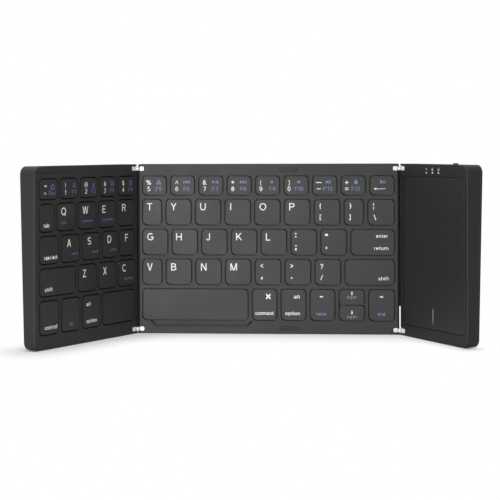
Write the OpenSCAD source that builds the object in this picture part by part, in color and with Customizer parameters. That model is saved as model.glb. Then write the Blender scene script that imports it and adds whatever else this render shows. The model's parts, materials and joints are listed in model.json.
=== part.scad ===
// Folding keyboard: a middle panel and two wings on vertical fold axes, standing on its front edge.
// Each panel is drawn flat: u runs along the panel from its fold axis, w from the key face into the
// body, z up from the front edge. The placing modules then put it in the standing, half folded pose.

/* [Panels] */
// Height of every panel, front edge to rear edge
panel_h = 97.9; // [94:0.1:112]
// Distance between the two fold axes
fold_span = 150.8; // [140:0.1:172]
// Length of the left wing from its fold axis
left_len = 86.5; // [80:0.1:92]
// Gap left between the two wing ends when both are closed
wing_gap = 1; // [0.4:0.1:2]
// Panel thickness at the front edge
front_t = 7.6; // [7.2:0.1:9]
// Panel thickness at the rear edge
rear_t = 10.3; // [9.4:0.1:12]
// Radius of the outer wing corners
corner_r = 4.5; // [2:0.1:7]
// Radius of the panel corners beside a fold
seam_corner_r = 0.8; // [0.3:0.1:1.5]
// Wall thickness of the shells
wall = 1.2; // [0.9:0.1:1.3]
// Thickness of the face plate around the keys
plate_t = 1.2; // [1:0.1:1.4]
// Thickness of the back covers
cover_t = 1.6; // [1.2:0.1:1.8]

/* [Folds] */
// Fold of the left wing from flat, in degrees
left_fold = 59.9; // [40:0.1:75]
// Fold of the right wing from flat, in degrees
right_fold = 58.3; // [40:0.1:75]
// Height of the fold axes in front of the key face
axis_lift = 0.5; // [0.5:0.05:0.9]
// Gap between a panel edge and the fold axis
seam_gap = 0.15; // [0.15:0.05:0.6]
// Width of the chamfer along the middle panel's edges beside the folds
chamfer_w = 1; // [0.8:0.1:1.2]
// Depth of that chamfer
chamfer_d = 0.8; // [0.5:0.1:1]

/* [Hinges] */
// Height of a hinge leaf
leaf_h = 2.4; // [2.4:0.1:3.4]
// Length of a middle leaf from the axis
middle_leaf_len = 3.6; // [3.6:0.1:5]
// Length of a wing leaf from the axis
wing_leaf_len = 4.2; // [4.2:0.1:5.5]
// Thickness of the leaves
leaf_t = 0.8; // [0.6:0.1:1]
// How far the leaves stand above the face
leaf_proud = 0.1; // [0:0.05:0.2]
// Distance of each hinge from the front or rear edge
hinge_inset = 2.6; // [2.2:0.1:3.4]
// Knuckle radius
knuckle_r = 1.1; // [1:0.05:1.2]
// Height of the wing knuckle
knuckle_h = 0.6; // [0.5:0.05:0.8]
// Height of each of the two middle knuckles
ear_h = 0.5; // [0.4:0.05:0.6]
// Hinge pin radius
pin_r = 0.5; // [0.4:0.05:0.6]
// Radial clearance of the pin
pin_clearance = 0.03; // [0.02:0.01:0.08]
// Radius of the pin heads
pin_head_r = 0.8; // [0.7:0.05:0.9]
// Radius of the peg that holds a leaf in its shell
peg_r = 0.6; // [0.4:0.1:0.7]

/* [Keys] */
// Gap between neighbouring keys
key_gap = 3.15; // [2.8:0.05:3.6]
// Border between a fold axis and the keys
seam_border = 3.15; // [3:0.05:4]
// Border between the left wing's outer edge and the keys
outer_border = 4.3; // [3.5:0.05:6]
// Border between the front edge and the keys
front_border = 8.3; // [7.6:0.1:10]
// Border between the rear edge and the keys
rear_border = 7.1; // [6.8:0.1:10]
// Height of the space bar row
space_row_h = 17.3; // [15:0.1:19]
// Height of the number row
number_row_h = 10.35; // [9:0.05:12]
// Gap between the two short arrow keys
arrow_gap = 0.8; // [0.8:0.1:2]
// Corner radius of the keys
key_r = 2.2; // [1.5:0.1:3]
// Gap between a key and its hole
key_clearance = 0.75; // [0.4:0.05:0.8]
// How far the keys stand above the face
key_proud = 0.3; // [0.1:0.05:0.35]
// How far a key travels when pressed
key_travel = 1.2; // [1:0.05:1.3]
// Thickness of the retaining flange under a key
flange_t = 0.5; // [0.4:0.05:0.6]
// Reach of that flange past the sides of the key
flange_reach = 1.1; // [1.05:0.05:1.2]
// Gap between a flange and the face plate
flange_gap = 0.2; // [0.15:0.05:0.3]
// Thickness of the rubber dome sheets
sheet_t = 0.3; // [0.2:0.05:0.5]
// Radius of a dome at its foot
dome_r = 2.6; // [2:0.1:3]
// Clearance between a pressed key and its dome
dome_clearance = 0.15; // [0.1:0.05:0.3]
// Height of a dome, drawn pressed down
dome_h = 0.45; // [0.4:0.05:0.6]
// Thickness of the ribs that carry a dome sheet
rib_t = 1.2; // [0.8:0.1:1.6]

/* [Thumb recess] */
// Width of the recess at the space bar
scoop_w = 60.4; // [50:0.1:60.6]
// Height of the recess
scoop_h = 3.9; // [3:0.1:4.3]
// How far each end of the recess slopes in
scoop_slope = 3.6; // [2:0.1:5]
// Depth of the recess
scoop_d = 0.9; // [0.6:0.05:1]
// Width of the slope along the front edge of the recess
scoop_front = 1.5; // [1:0.1:2.4]
// Width of the slopes at its ends
scoop_end = 1.2; // [0.8:0.1:2.4]

/* [Touch pad] */
// Border between the right fold axis and the touch plate
pad_seam_border = 3.7; // [3.4:0.1:5]
// Border between the right wing's outer edge and the touch plate
pad_outer_border = 2.9; // [2.5:0.1:4]
// Border between the front edge and the touch plate
pad_front_border = 6.7; // [6:0.1:8]
// Corner radius of the touch plate
pad_r = 2; // [1:0.1:3]
// Thickness of the touch plate
pad_t = 1; // [0.8:0.05:1.2]
// Gap round the touch plate
pad_gap = 0.3; // [0.2:0.05:0.5]
// How far the touch plate lies below the face
pad_sink = 0.1; // [0:0.05:0.2]
// Travel of the touch plate's front edge when it clicks
click_travel = 0.5; // [0.3:0.05:0.6]
// Width of the ledge under the touch plate
ledge_w = 1.5; // [1:0.1:2]

/* [Electronics] */
// Thickness of the circuit board
board_t = 0.8; // [0.6:0.1:1]
// Thickness of the battery
battery_t = 2.6; // [2:0.1:2.8]
// Width of the charging port
port_w = 7.6; // [7:0.1:9]
// Thickness of the charging port
port_t = 2.7; // [2.4:0.1:3.2]
// Depth of the charging port
port_depth = 5.2; // [5:0.1:6.5]
// Wall of the charging port's metal shell
port_wall = 0.3; // [0.2:0.05:0.4]
// Middle of the charging port from the right fold axis
port_u = 15.7; // [14:0.1:18]
// Depth of the port and switch below the face
edge_parts_w = 4.6; // [4.2:0.1:5]
// Length of the power switch knob
knob_len = 3.6; // [3:0.1:4.5]
// Thickness of the power switch knob
knob_t = 1.2; // [1:0.1:1.6]
// How far the knob stands above the edge
knob_proud = 0.8; // [0.5:0.1:1.5]
// Travel of the knob
knob_travel = 2.5; // [1.5:0.1:3]
// Distance of the knob from the wing's outer edge
knob_edge = 14.5; // [13.5:0.1:16]
// Radius of an indicator lens
lens_r = 0.5; // [0.4:0.05:0.7]
// Distance between indicator lenses
lens_pitch = 5.75; // [4:0.05:7]
// Thickness of the flexible cables
ribbon_t = 0.25; // [0.15:0.05:0.35]
// Height of the right cable's lower edge
ribbon_low = 16; // [12:0.5:40]
// Distance of the cables' other edges from the front and rear edges
ribbon_inset = 1.8; // [1.8:0.1:4]

/* [Feet, pads and screws] */
// Length of a rubber foot
foot_len = 16; // [10:0.5:20]
// Width of a rubber foot
foot_w = 4; // [3:0.1:5]
// How far a foot stands above the back
foot_proud = 0.6; // [0.4:0.1:1]
// Depth of the seat that a foot is glued into
foot_seat = 0.5; // [0.3:0.1:0.8]
// Distance of the feet from the front and rear edges
foot_inset = 10; // [8:0.5:16]
// Distance of a foot's middle from the end of its panel
foot_end = 16; // [12:0.5:18]
// Length of a closing pad
closing_len = 11; // [8:0.1:12]
// Width of a closing pad
closing_w = 2.2; // [1.8:0.1:2.6]
// How far a closing pad stands above the face
closing_proud = 0.35; // [0.2:0.05:0.4]
// Middle of the closing pads from the left fold axis
closing_u = 87.4; // [80:0.1:90]
// Distance of the screws from the front and rear edges
screw_inset = 3.7; // [3.6:0.1:4.2]
// Distance of the middle panel's screws, and the wings' inner screws, from the fold axes
screw_end = 12; // [10:0.5:14]
// Distance of the wings' outer screws from the outer edges
screw_edge = 7; // [6:0.5:10]
// Radius of a screw shank
screw_r = 0.7; // [0.6:0.05:0.8]
// Radius of a screw head
screw_head_r = 1.3; // [1.1:0.05:1.4]
// Radius of the boss round a screw
boss_r = 1.6; // [1.4:0.05:1.7]

/* [Hidden] */
$fn = 48;
eps = 0.01;
fit = 0.05;
right_len = fold_span - left_len - wing_gap;
wedge = atan((rear_t - front_t) / panel_h);
leaf_room = 0.35;
knuckle_gap = 0.05;
stack_h = knuckle_h + 2 * ear_h + 2 * knuckle_gap;
pin_head_h = 0.2;
hinge_zs = [hinge_inset, panel_h - hinge_inset];
letter_row_h = (panel_h - front_border - rear_border - space_row_h - number_row_h - 4 * key_gap) / 3;
row_heights = [space_row_h, letter_row_h, letter_row_h, letter_row_h, number_row_h];
flange_w = plate_t + flange_gap;
pressed_w = flange_w + flange_t + key_travel;
sheet_w = pressed_w + dome_clearance + dome_h;
sheet_margin = 1;
ribbon_w = pressed_w + 0.3;
ribbon_rho = ribbon_w + axis_lift;
ribbon_slot = 0.7;
ribbon_tail = 2.6;
ribbon_steps = 12;
left_field = left_len - seam_border - outer_border;
middle_field = fold_span - 2 * seam_border;
scoop_u = seam_border + 3.5;
scoop_floor_t = 0.8;
closing_zs = [hinge_inset + 0.8, panel_h - hinge_inset - 0.5];
pad_h = panel_h - pad_front_border - rear_border;
pad_w = right_len - pad_seam_border - pad_outer_border;
ledge_top_w = pad_sink + pad_t + click_travel + 0.15;
ledge_t = 0.7;
seat_top_w = pad_sink + pad_t + 0.2;
board_w = edge_parts_w + port_t / 2;
board_h = 26;
board_top = panel_h - wall - 5;
battery_room = 0.02;
screw_len = 3.4;
head_h = 0.7;
screw_zs = [screw_inset, panel_h - screw_inset];
screw_us = [screw_end, fold_span - screw_end];
wing_screw_us = [screw_end, left_len - screw_edge];
lens_us = [for (i = [-1 : 1]) right_len / 2 + i * lens_pitch];
knob_end_u = right_len - knob_edge;
knob_mid_u = knob_end_u - (knob_len + knob_travel) / 2;
pad_screw_us = [screw_edge, right_len - screw_edge];
foot_us = [foot_end, fold_span - foot_end];
left_foot_us = [foot_end, left_len - foot_end];
right_foot_us = [foot_end, right_len - foot_end];
chip_us = [right_len * 0.24, right_len * 0.55];
lens_z = panel_h - 4.7;

// Keys of each row, front row first: the name and the width as a share of a letter key.
LEFT_ROWS = [
  [["space_left", 1.95], ["option_left", 1], ["fn", 1], ["control", 1]],
  [["c", 0.965], ["x", 1], ["z", 1], ["shift_left", 1.98]],
  [["f", 0.865], ["d", 0.865], ["s", 1], ["a", 1], ["caps", 1]],
  [["r", 0.965], ["e", 1], ["w", 1], ["q", 1], ["tab", 0.765]],
  [["4", 1], ["3", 1], ["2", 1], ["1", 1], ["escape", 1]]];
MIDDLE_ROWS = [
  [["space_middle", 4.3], ["command", 0.96], ["option_right", 0.96], ["left", 0.96],
   ["up_down", 0.98], ["right", 1]],
  [["v", 0.75], ["b", 1], ["n", 1], ["m", 1], ["comma", 1], ["period", 1], ["slash", 1],
   ["shift_right", 1.96]],
  [["g", 1], ["h", 1], ["j", 1], ["k", 1], ["l", 1], ["semicolon", 1], ["quote", 1],
   ["enter", 1.72]],
  [["t", 0.75], ["y", 1], ["u", 1], ["i", 1], ["o", 1], ["p", 1], ["bracket_open", 1],
   ["bracket_close", 0.74], ["backslash", 1.03]],
  [["5", 1], ["6", 1], ["7", 1], ["8", 1], ["9", 1], ["0", 1], ["minus", 1], ["equals", 1],
   ["delete", 1]]];

LEFT_LETTERS = ["q", "w", "e", "r", "a", "s", "d", "f", "z", "x", "c"];
MIDDLE_LETTERS = ["t", "y", "u", "i", "o", "p", "g", "h", "j", "k", "l", "v", "b", "n", "m"];
LEFT_GROUPS = [
  ["space_key_left", ["space_left"]],
  ["number_keys_left", ["escape", "1", "2", "3", "4"]],
  ["modifier_keys_left", ["tab", "caps", "shift_left", "control", "fn", "option_left"]]];
MIDDLE_GROUPS = [
  ["space_key_middle", ["space_middle"]],
  ["number_keys_middle", ["5", "6", "7", "8", "9", "0", "minus", "equals", "delete"]],
  ["symbol_keys", ["bracket_open", "bracket_close", "backslash", "semicolon", "quote", "comma",
                   "period", "slash"]],
  ["command_keys", ["enter", "shift_right", "command", "option_right", "left", "up_down",
                    "right"]]];

// Depth of the back at height z
function back_w(z) = front_t + (rear_t - front_t) * z / panel_h;
function has(names, name) = len([for (n = names) if (n == name) n]) > 0;
// Sum of the first n shares of a row
function shares(row, n) = n <= 0 ? 0 : row[n - 1][1] + shares(row, n - 1);
function share_w(row, field) = (field - (len(row) - 1) * key_gap) / shares(row, len(row));
function key_w(row, i, field) = row[i][1] * share_w(row, field);
function key_u(row, i, field) = seam_border + shares(row, i) * share_w(row, field) + i * key_gap;
function row_z(r) = r <= 0 ? front_border : row_z(r - 1) + row_heights[r - 1] + key_gap;

// Placing: panel coordinates to the standing pose
module in_middle() {
  translate([-fold_span / 2, -front_t / 2, 0]) children();
}

module in_left() {
  translate([-fold_span / 2, -front_t / 2 - axis_lift, 0])
    rotate([0, 0, left_fold])
      translate([0, axis_lift, 0])
        mirror([1, 0, 0]) children();
}

module in_right() {
  translate([fold_span / 2, -front_t / 2 - axis_lift, 0])
    rotate([0, 0, -right_fold])
      translate([0, axis_lift, 0]) children();
}

// A flat u-z outline between depths w0 and w1
module slab(w0, w1) {
  rotate([90, 0, 0])
    translate([0, 0, -w1]) linear_extrude(w1 - w0) children();
}

// A w-z outline drawn along u
module along_u(u0, u1) {
  translate([u0, 0, 0])
    rotate([90, 0, 90]) linear_extrude(u1 - u0) children();
}

// Frame on the back of a panel: its y axis leaves the back square
module on_back(u, z) {
  translate([u, back_w(z), z])
    rotate([-wedge, 0, 0]) children();
}

module rounded_box(u0, z0, u1, z1, r) {
  translate([u0 + r, z0]) square([u1 - u0 - 2 * r, z1 - z0]);
  translate([u0, z0 + r]) square([u1 - u0, z1 - z0 - 2 * r]);
  for (u = [u0 + r, u1 - r], z = [z0 + r, z1 - r])
    translate([u, z]) circle(r);
}

module pill(len, w) {
  translate([-(len - w) / 2, -w / 2]) square([len - w, w]);
  for (side = [-1, 1])
    translate([side * (len - w) / 2, 0]) circle(w / 2);
}

// Outline of a panel from u0 to u1, with its own corner radius at each end
module panel_outline(u0, u1, r0, r1, inset = 0) {
  mid = (u0 + u1) / 2;
  rounded_box(u0 + inset, inset, mid + r0, panel_h - inset, max(r0 - inset, 0.2));
  rounded_box(mid - r1, inset, u1 - inset, panel_h - inset, max(r1 - inset, 0.2));
}

// Everything between the key face and a plane short of the back by the given amount
module wedge_space(u0, u1, w0, short) {
  along_u(u0, u1)
    polygon([[w0, 0], [front_t - short, 0], [rear_t - short, panel_h], [w0, panel_h]]);
}

module back_band(u0, u1) {
  along_u(u0, u1)
    polygon([[front_t - cover_t, 0], [front_t, 0], [rear_t, panel_h],
             [rear_t - cover_t, panel_h]]);
}

module shell_body(u0, u1, r0, r1) {
  difference() {
    intersection() {
      slab(0, rear_t) panel_outline(u0, u1, r0, r1);
      wedge_space(u0, u1, 0, cover_t);
    }
    slab(plate_t, rear_t) panel_outline(u0, u1, r0, r1, wall);
  }
}

// Cut that takes the front corner off the middle panel beside the fold at u = 0
module seam_chamfer() {
  translate([seam_gap, 0, -1])
    linear_extrude(panel_h + 2)
      polygon([[-1, -1], [chamfer_w, -1], [chamfer_w, 0], [0, chamfer_d], [-1, chamfer_d]]);
}

module boss_at(u, z) {
  intersection() {
    translate([u, plate_t - eps, z]) rotate([-90, 0, 0]) cylinder(r = boss_r, h = rear_t);
    wedge_space(u - 2 * boss_r, u + 2 * boss_r, 0, cover_t);
  }
}

module screw_hole(u, z) {
  translate([u, back_w(z) - cover_t - screw_len, z])
    rotate([-90, 0, 0]) cylinder(r = screw_r + fit, h = screw_len + cover_t + 1);
}

module screw_at(u, z) {
  top = back_w(z) - 0.3;
  translate([u, top - head_h - screw_len, z])
    rotate([-90, 0, 0]) cylinder(r = screw_r, h = screw_len + head_h);
  difference() {
    translate([u, top - head_h, z])
      rotate([-90, 0, 0]) cylinder(r = screw_head_r, h = head_h);
    for (turn = [0, 90])
      translate([u, top, z])
        rotate([0, turn, 0])
          cube([screw_head_r * 1.2, head_h * 0.8, 0.35], center = true);
  }
}

// Seat of a screw head in the back cover, with the hole for its shank
module screw_seat(u, z) {
  translate([u, back_w(z) - 0.3 - head_h, z])
    rotate([-90, 0, 0]) cylinder(r = screw_head_r + 0.1, h = cover_t);
  screw_hole(u, z);
}

// Room in a shell for a leaf of the given length and for the knuckles
module leaf_pocket(len, z) {
  slab(-1, leaf_t - leaf_proud)
    rounded_box(-1, z - leaf_h / 2 - leaf_room, len + leaf_room, z + leaf_h / 2 + leaf_room, 0.3);
  translate([0, -axis_lift, z - leaf_h / 2 - leaf_room])
    cylinder(r = knuckle_r + 0.25, h = leaf_h + 2 * leaf_room);
  translate([len - 1.1, 0, z])
    rotate([-90, 0, 0]) cylinder(r = peg_r + fit, h = leaf_t + 1.2);
}

// Thickening behind a leaf that its peg goes into
module leaf_boss(len, z) {
  translate([len - 1.1, plate_t - eps, z])
    rotate([-90, 0, 0]) cylinder(r = peg_r + 0.9, h = 1.3);
}

module leaf_plate(len, end_r, z) {
  start = knuckle_r + 0.15;
  slab(-leaf_proud, leaf_t - leaf_proud) {
    translate([start, z - leaf_h / 2]) square([len - start - end_r, leaf_h]);
    rounded_box(start, z - leaf_h / 2, len, z + leaf_h / 2, end_r);
  }
  translate([len - 1.1, 0, z])
    rotate([-90, 0, 0]) cylinder(r = peg_r, h = leaf_t + 0.9);
}

// One knuckle between heights z0 and z1 with the strap that joins it to its leaf
module knuckle(z0, z1) {
  difference() {
    union() {
      translate([0, -axis_lift, z0]) cylinder(r = knuckle_r, h = z1 - z0);
      translate([0, -leaf_proud, z0]) cube([knuckle_r + 0.4, leaf_t, z1 - z0]);
    }
    translate([0, -axis_lift, z0 - 1]) cylinder(r = pin_r + pin_clearance, h = z1 - z0 + 2);
  }
}

module middle_leaf(z) {
  leaf_plate(middle_leaf_len, 0.7, z);
  knuckle(z - stack_h / 2, z - stack_h / 2 + ear_h);
  knuckle(z + stack_h / 2 - ear_h, z + stack_h / 2);
}

module wing_leaf(z) {
  leaf_plate(wing_leaf_len, 0.5, z);
  knuckle(z - knuckle_h / 2, z + knuckle_h / 2);
}

module key_cap(u, z, w, h) {
  slab(-key_proud, flange_w + eps)
    rounded_box(u, z, u + w, z + h, key_r);
  slab(flange_w, flange_w + flange_t)
    rounded_box(u - flange_reach, z + 0.5, u + w + flange_reach, z + h - 0.5, 0.8);
}

// The keys of a panel that are named in names
module keys_of(rows, field, names) {
  for (r = [0 : len(rows) - 1], i = [0 : len(rows[r]) - 1])
    if (has(names, rows[r][i][0])) {
      u = key_u(rows[r], i, field);
      w = key_w(rows[r], i, field);
      if (rows[r][i][0] == "up_down") {
        h = (row_heights[r] - arrow_gap) / 2;
        key_cap(u, row_z(r), w, h);
        key_cap(u, row_z(r) + h + arrow_gap, w, h);
      } else
        key_cap(u, row_z(r), w, row_heights[r]);
    }
}

module key_holes(rows, field) {
  slab(-1, plate_t + 1)
    for (r = [0 : len(rows) - 1], i = [0 : len(rows[r]) - 1]) {
      u = key_u(rows[r], i, field);
      rounded_box(u - key_clearance, row_z(r) - key_clearance,
                  u + key_w(rows[r], i, field) + key_clearance,
                  row_z(r) + row_heights[r] + key_clearance, key_r + key_clearance);
    }
}

module dome_at(u, z) {
  translate([u, sheet_w - dome_h, z])
    rotate([-90, 0, 0]) cylinder(r1 = dome_r * 0.6, r2 = dome_r, h = dome_h + eps);
}

module switch_sheet(rows, field) {
  slab(sheet_w, sheet_w + sheet_t)
    rounded_box(seam_border - 0.5, front_border - sheet_margin, seam_border + field + 0.5,
                panel_h - rear_border + sheet_margin, 1);
  for (r = [0 : len(rows) - 1], i = [0 : len(rows[r]) - 1]) {
    u = key_u(rows[r], i, field) + key_w(rows[r], i, field) / 2;
    if (rows[r][i][0] == "up_down")
      for (side = [1, 3])
        dome_at(u, row_z(r) + row_heights[r] * side / 4);
    else
      dome_at(u, row_z(r) + row_heights[r] / 2);
  }
}

// Ribs on a back cover, one under each gap between rows, that carry the dome sheet
module cover_ribs(field) {
  intersection() {
    for (r = [0 : 5]) {
      z = r < 5 ? row_z(r) - key_gap / 2 : panel_h - rear_border - rib_t;
      translate([seam_border + 2.5, sheet_w + sheet_t, max(z, front_border) - rib_t / 2])
        cube([field - 5, rear_t, rib_t]);
    }
    wedge_space(0, fold_span, 0, cover_t - eps);
  }
}

module cover_body(u0, u1, r0, r1) {
  intersection() {
    slab(0, rear_t + 1) panel_outline(u0, u1, r0, r1);
    back_band(u0, u1);
  }
}

module foot_seat_at(u, z) {
  on_back(u, z)
    slab(-foot_seat, 1) pill(foot_len + 2 * fit, foot_w + 2 * fit);
}

module foot_at(u, z) {
  on_back(u, z)
    slab(-foot_seat, foot_proud) pill(foot_len, foot_w);
}

// Slot in a seam wall that a flexible cable passes through
module ribbon_slot_at(z0) {
  translate([0, ribbon_w - ribbon_slot / 2, z0 - 0.4])
    cube([seam_gap + wall + 0.5, ribbon_slot, panel_h - ribbon_inset - z0 + 0.8]);
}

// Point of a cable's section: turned by t about the axis, then along the panel it runs into
function ribbon_point(t, along, side) =
  let(r = ribbon_rho + side * ribbon_t / 2) [-r * sin(t) - along * cos(t), r * cos(t) - along * sin(t)];

// Cable over a fold: a tail in each panel and a bend about the axis between them
module ribbon_strip(fold, z0) {
  top = panel_h - ribbon_inset;
  turns = [for (i = [0 : ribbon_steps]) fold * i / ribbon_steps];
  translate([0, -axis_lift, z0])
    linear_extrude(top - z0)
      polygon(concat(
        [ribbon_point(0, -ribbon_tail, 1)], [for (t = turns) ribbon_point(t, 0, 1)],
        [ribbon_point(fold, ribbon_tail, 1), ribbon_point(fold, ribbon_tail, -1)],
        [for (i = [0 : ribbon_steps]) ribbon_point(turns[ribbon_steps - i], 0, -1)],
        [ribbon_point(0, -ribbon_tail, -1)]));
}

module middle_shell() {
  color([0.24, 0.24, 0.25]) in_middle() difference() {
    union() {
      shell_body(seam_gap, fold_span - seam_gap, seam_corner_r, seam_corner_r);
      for (u = screw_us, z = screw_zs)
        boss_at(u, z);
      slab(plate_t - eps, scoop_d + scoop_floor_t)
        rounded_box(scoop_u - 1, wall, scoop_u + scoop_w + 1, front_border - key_clearance - 0.8,
                    0.3);
      for (z = hinge_zs) {
        leaf_boss(middle_leaf_len, z);
        translate([fold_span, 0, 0]) mirror([1, 0, 0]) leaf_boss(middle_leaf_len, z);
      }
      for (z = closing_zs)
        translate([closing_u, plate_t - eps, z])
          slab(0, 0.6) pill(closing_len + 1.6, closing_w + 1.6);
    }
    key_holes(MIDDLE_ROWS, middle_field);
    thumb_recess();
    seam_chamfer();
    translate([fold_span, 0, 0]) mirror([1, 0, 0]) seam_chamfer();
    for (u = screw_us, z = screw_zs)
      screw_hole(u, z);
    for (z = hinge_zs) {
      leaf_pocket(middle_leaf_len, z);
      translate([fold_span, 0, 0]) mirror([1, 0, 0]) leaf_pocket(middle_leaf_len, z);
    }
    for (z = closing_zs)
      translate([closing_u, 0, z])
        slab(-1, 0.8) pill(closing_len + 2 * fit, closing_w + 2 * fit);
    ribbon_slot_at(ribbon_inset);
    translate([fold_span, 0, 0]) mirror([1, 0, 0]) ribbon_slot_at(ribbon_low);
  }
}

// Space inside the sloping left end of the recess
module recess_end(z1) {
  translate([scoop_u, 0, z1])
    rotate([0, -atan(scoop_slope / scoop_h), 0])
      translate([0, 0, -scoop_w])
        linear_extrude(2 * scoop_w)
          polygon([[0, -1], [0, 0], [scoop_end, scoop_d], [2 * scoop_w, scoop_d],
                   [2 * scoop_w, -1]]);
}

// Recess in front of the space bar: slopes along its front edge and at both ends
module thumb_recess() {
  z1 = front_border - key_clearance + eps;
  z0 = z1 - scoop_h;
  intersection() {
    along_u(scoop_u, scoop_u + scoop_w)
      polygon([[-1, z1], [scoop_d, z1], [scoop_d, z0 + scoop_front], [0, z0], [-1, z0]]);
    recess_end(z1);
    translate([2 * scoop_u + scoop_w, 0, 0]) mirror([1, 0, 0]) recess_end(z1);
  }
}

module left_shell() {
  color([0.2, 0.2, 0.21]) in_left() difference() {
    union() {
      shell_body(seam_gap, left_len, seam_corner_r, corner_r);
      for (u = wing_screw_us, z = screw_zs)
        boss_at(u, z);
      for (z = hinge_zs)
        leaf_boss(wing_leaf_len, z);
    }
    key_holes(LEFT_ROWS, left_field);
    for (u = wing_screw_us, z = screw_zs)
      screw_hole(u, z);
    for (z = hinge_zs)
      leaf_pocket(wing_leaf_len, z);
    ribbon_slot_at(ribbon_inset);
  }
}

module pad_box(grow, r) {
  rounded_box(pad_seam_border - grow, pad_front_border - grow, pad_seam_border + pad_w + grow,
              pad_front_border + pad_h + grow, r);
}

module right_shell() {
  color([0.19, 0.19, 0.2]) in_right() difference() {
    union() {
      shell_body(seam_gap, right_len, seam_corner_r, corner_r);
      for (u = pad_screw_us, z = screw_zs)
        boss_at(u, z);
      for (z = hinge_zs)
        leaf_boss(wing_leaf_len, z);
      slab(plate_t - eps, ledge_top_w + ledge_t) pad_box(pad_gap + 0.8, pad_r);
    }
    difference() {
      slab(-1, ledge_top_w) pad_box(pad_gap, pad_r + pad_gap);
      // Strip that the rear edge of the touch plate rocks on
      translate([pad_seam_border + 4, seat_top_w, pad_front_border + pad_h - ledge_w])
        cube([pad_w - 8, ledge_top_w, ledge_w + pad_gap + eps]);
    }
    slab(-1, rear_t) pad_box(-ledge_w, max(pad_r - ledge_w, 0.5));
    for (u = pad_screw_us, z = screw_zs)
      screw_hole(u, z);
    for (z = hinge_zs)
      leaf_pocket(wing_leaf_len, z);
    ribbon_slot_at(ribbon_low);
    for (u = lens_us)
      translate([u, -1, lens_z])
        rotate([-90, 0, 0]) cylinder(r = lens_r + fit, h = plate_t + 2);
    translate([port_u, edge_parts_w, panel_h - wall - 1])
      linear_extrude(wall + 2) port_section(port_w + 0.3, port_t + 0.3);
    translate([knob_mid_u - (knob_len + knob_travel) / 2 - 0.15, edge_parts_w - knob_t / 2 - 0.15,
               panel_h - wall - 1])
      cube([knob_len + knob_travel + 0.3, knob_t + 0.3, wall + 2]);
  }
}

module middle_cover() {
  color([0.22, 0.22, 0.23]) in_middle() difference() {
    union() {
      cover_body(seam_gap, fold_span - seam_gap, seam_corner_r, seam_corner_r);
      cover_ribs(middle_field);
    }
    for (u = screw_us, z = screw_zs)
      screw_seat(u, z);
    for (u = foot_us, z = [foot_inset, panel_h - foot_inset])
      foot_seat_at(u, z);
  }
}

module left_cover() {
  color([0.22, 0.22, 0.23]) in_left() difference() {
    union() {
      cover_body(seam_gap, left_len, seam_corner_r, corner_r);
      cover_ribs(left_field);
    }
    for (u = wing_screw_us, z = screw_zs)
      screw_seat(u, z);
    for (u = left_foot_us, z = [foot_inset, panel_h - foot_inset])
      foot_seat_at(u, z);
  }
}

// Posts on the right cover that carry the circuit board
module board_posts() {
  intersection() {
    for (u = [12, right_len - 12], z = [board_top - board_h + 7, board_top - 4])
      translate([u, board_w + board_t, z])
        rotate([-90, 0, 0]) cylinder(r = 1.5, h = rear_t);
    wedge_space(0, right_len, 0, cover_t - eps);
  }
}

module right_cover() {
  color([0.22, 0.22, 0.23]) in_right() difference() {
    union() {
      cover_body(seam_gap, right_len, seam_corner_r, corner_r);
      board_posts();
    }
    for (u = pad_screw_us, z = screw_zs)
      screw_seat(u, z);
    for (u = right_foot_us, z = [foot_inset, panel_h - foot_inset])
      foot_seat_at(u, z);
  }
}

module touch_plate() {
  color([0.16, 0.16, 0.17]) in_right()
    slab(pad_sink, pad_sink + pad_t) pad_box(0, pad_r);
}

module middle_hinge_leaves() {
  color([0.85, 0.85, 0.87]) in_middle() for (z = hinge_zs) {
    middle_leaf(z);
    translate([fold_span, 0, 0]) mirror([1, 0, 0]) middle_leaf(z);
  }
}

module left_hinge_leaves() {
  color([0.85, 0.85, 0.87]) in_left() for (z = hinge_zs)
    wing_leaf(z);
}

module right_hinge_leaves() {
  color([0.85, 0.85, 0.87]) in_right() for (z = hinge_zs)
    wing_leaf(z);
}

module hinge_pins() {
  color([0.7, 0.7, 0.72]) in_middle() for (u = [0, fold_span], z = hinge_zs)
    translate([u, -axis_lift, z]) {
      cylinder(r = pin_r, h = stack_h + 2 * pin_head_h, center = true);
      for (side = [-1, 1])
        translate([0, 0, side * (stack_h + pin_head_h) / 2])
          cylinder(r = pin_head_r, h = pin_head_h, center = true);
    }
}

module middle_switch_sheet() {
  color([0.8, 0.8, 0.78]) in_middle() switch_sheet(MIDDLE_ROWS, middle_field);
}

module left_switch_sheet() {
  color([0.8, 0.8, 0.78]) in_left() switch_sheet(LEFT_ROWS, left_field);
}

// Board under the rear edge of the right wing, with the switch body and two chips
module main_board() {
  z1 = board_top;
  color([0.08, 0.3, 0.16]) in_right() {
    slab(board_w, board_w + board_t) {
      translate([6, z1 - board_h + 4]) square([right_len - 11, board_h - 4]);
      translate([port_u - 5.5, z1 - eps]) square([11, 3.6]);
      translate([knob_mid_u - 5.5, z1 - eps]) square([11, 3.6]);
    }
    translate([knob_mid_u - 4.5, board_w - 1.2, z1]) cube([9, 1.2 + eps, 3.2]);
    translate([chip_us[0], board_w - 1, z1 - 14]) cube([8, 1 + eps, 8]);
    translate([chip_us[1], board_w - 0.9, z1 - 11]) cube([5, 0.9 + eps, 5]);
  }
}

module battery() {
  color([0.7, 0.72, 0.75]) in_right()
    on_back(right_len / 2, panel_h / 3 + 2)
      slab(-cover_t - battery_room - battery_t, -cover_t - battery_room)
        rounded_box(-right_len / 2 + 9, -panel_h / 3 + 12, right_len / 2 - 8,
                    panel_h / 3 - 4, 1);
}

// Section of the charging port: a slot with two corners cut off
module port_section(w, t) {
  polygon([[-w / 2, -t / 2], [w / 2, -t / 2], [w / 2, t / 5], [w / 2 - t / 3, t / 2],
           [-w / 2 + t / 3, t / 2], [-w / 2, t / 5]]);
}

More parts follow.
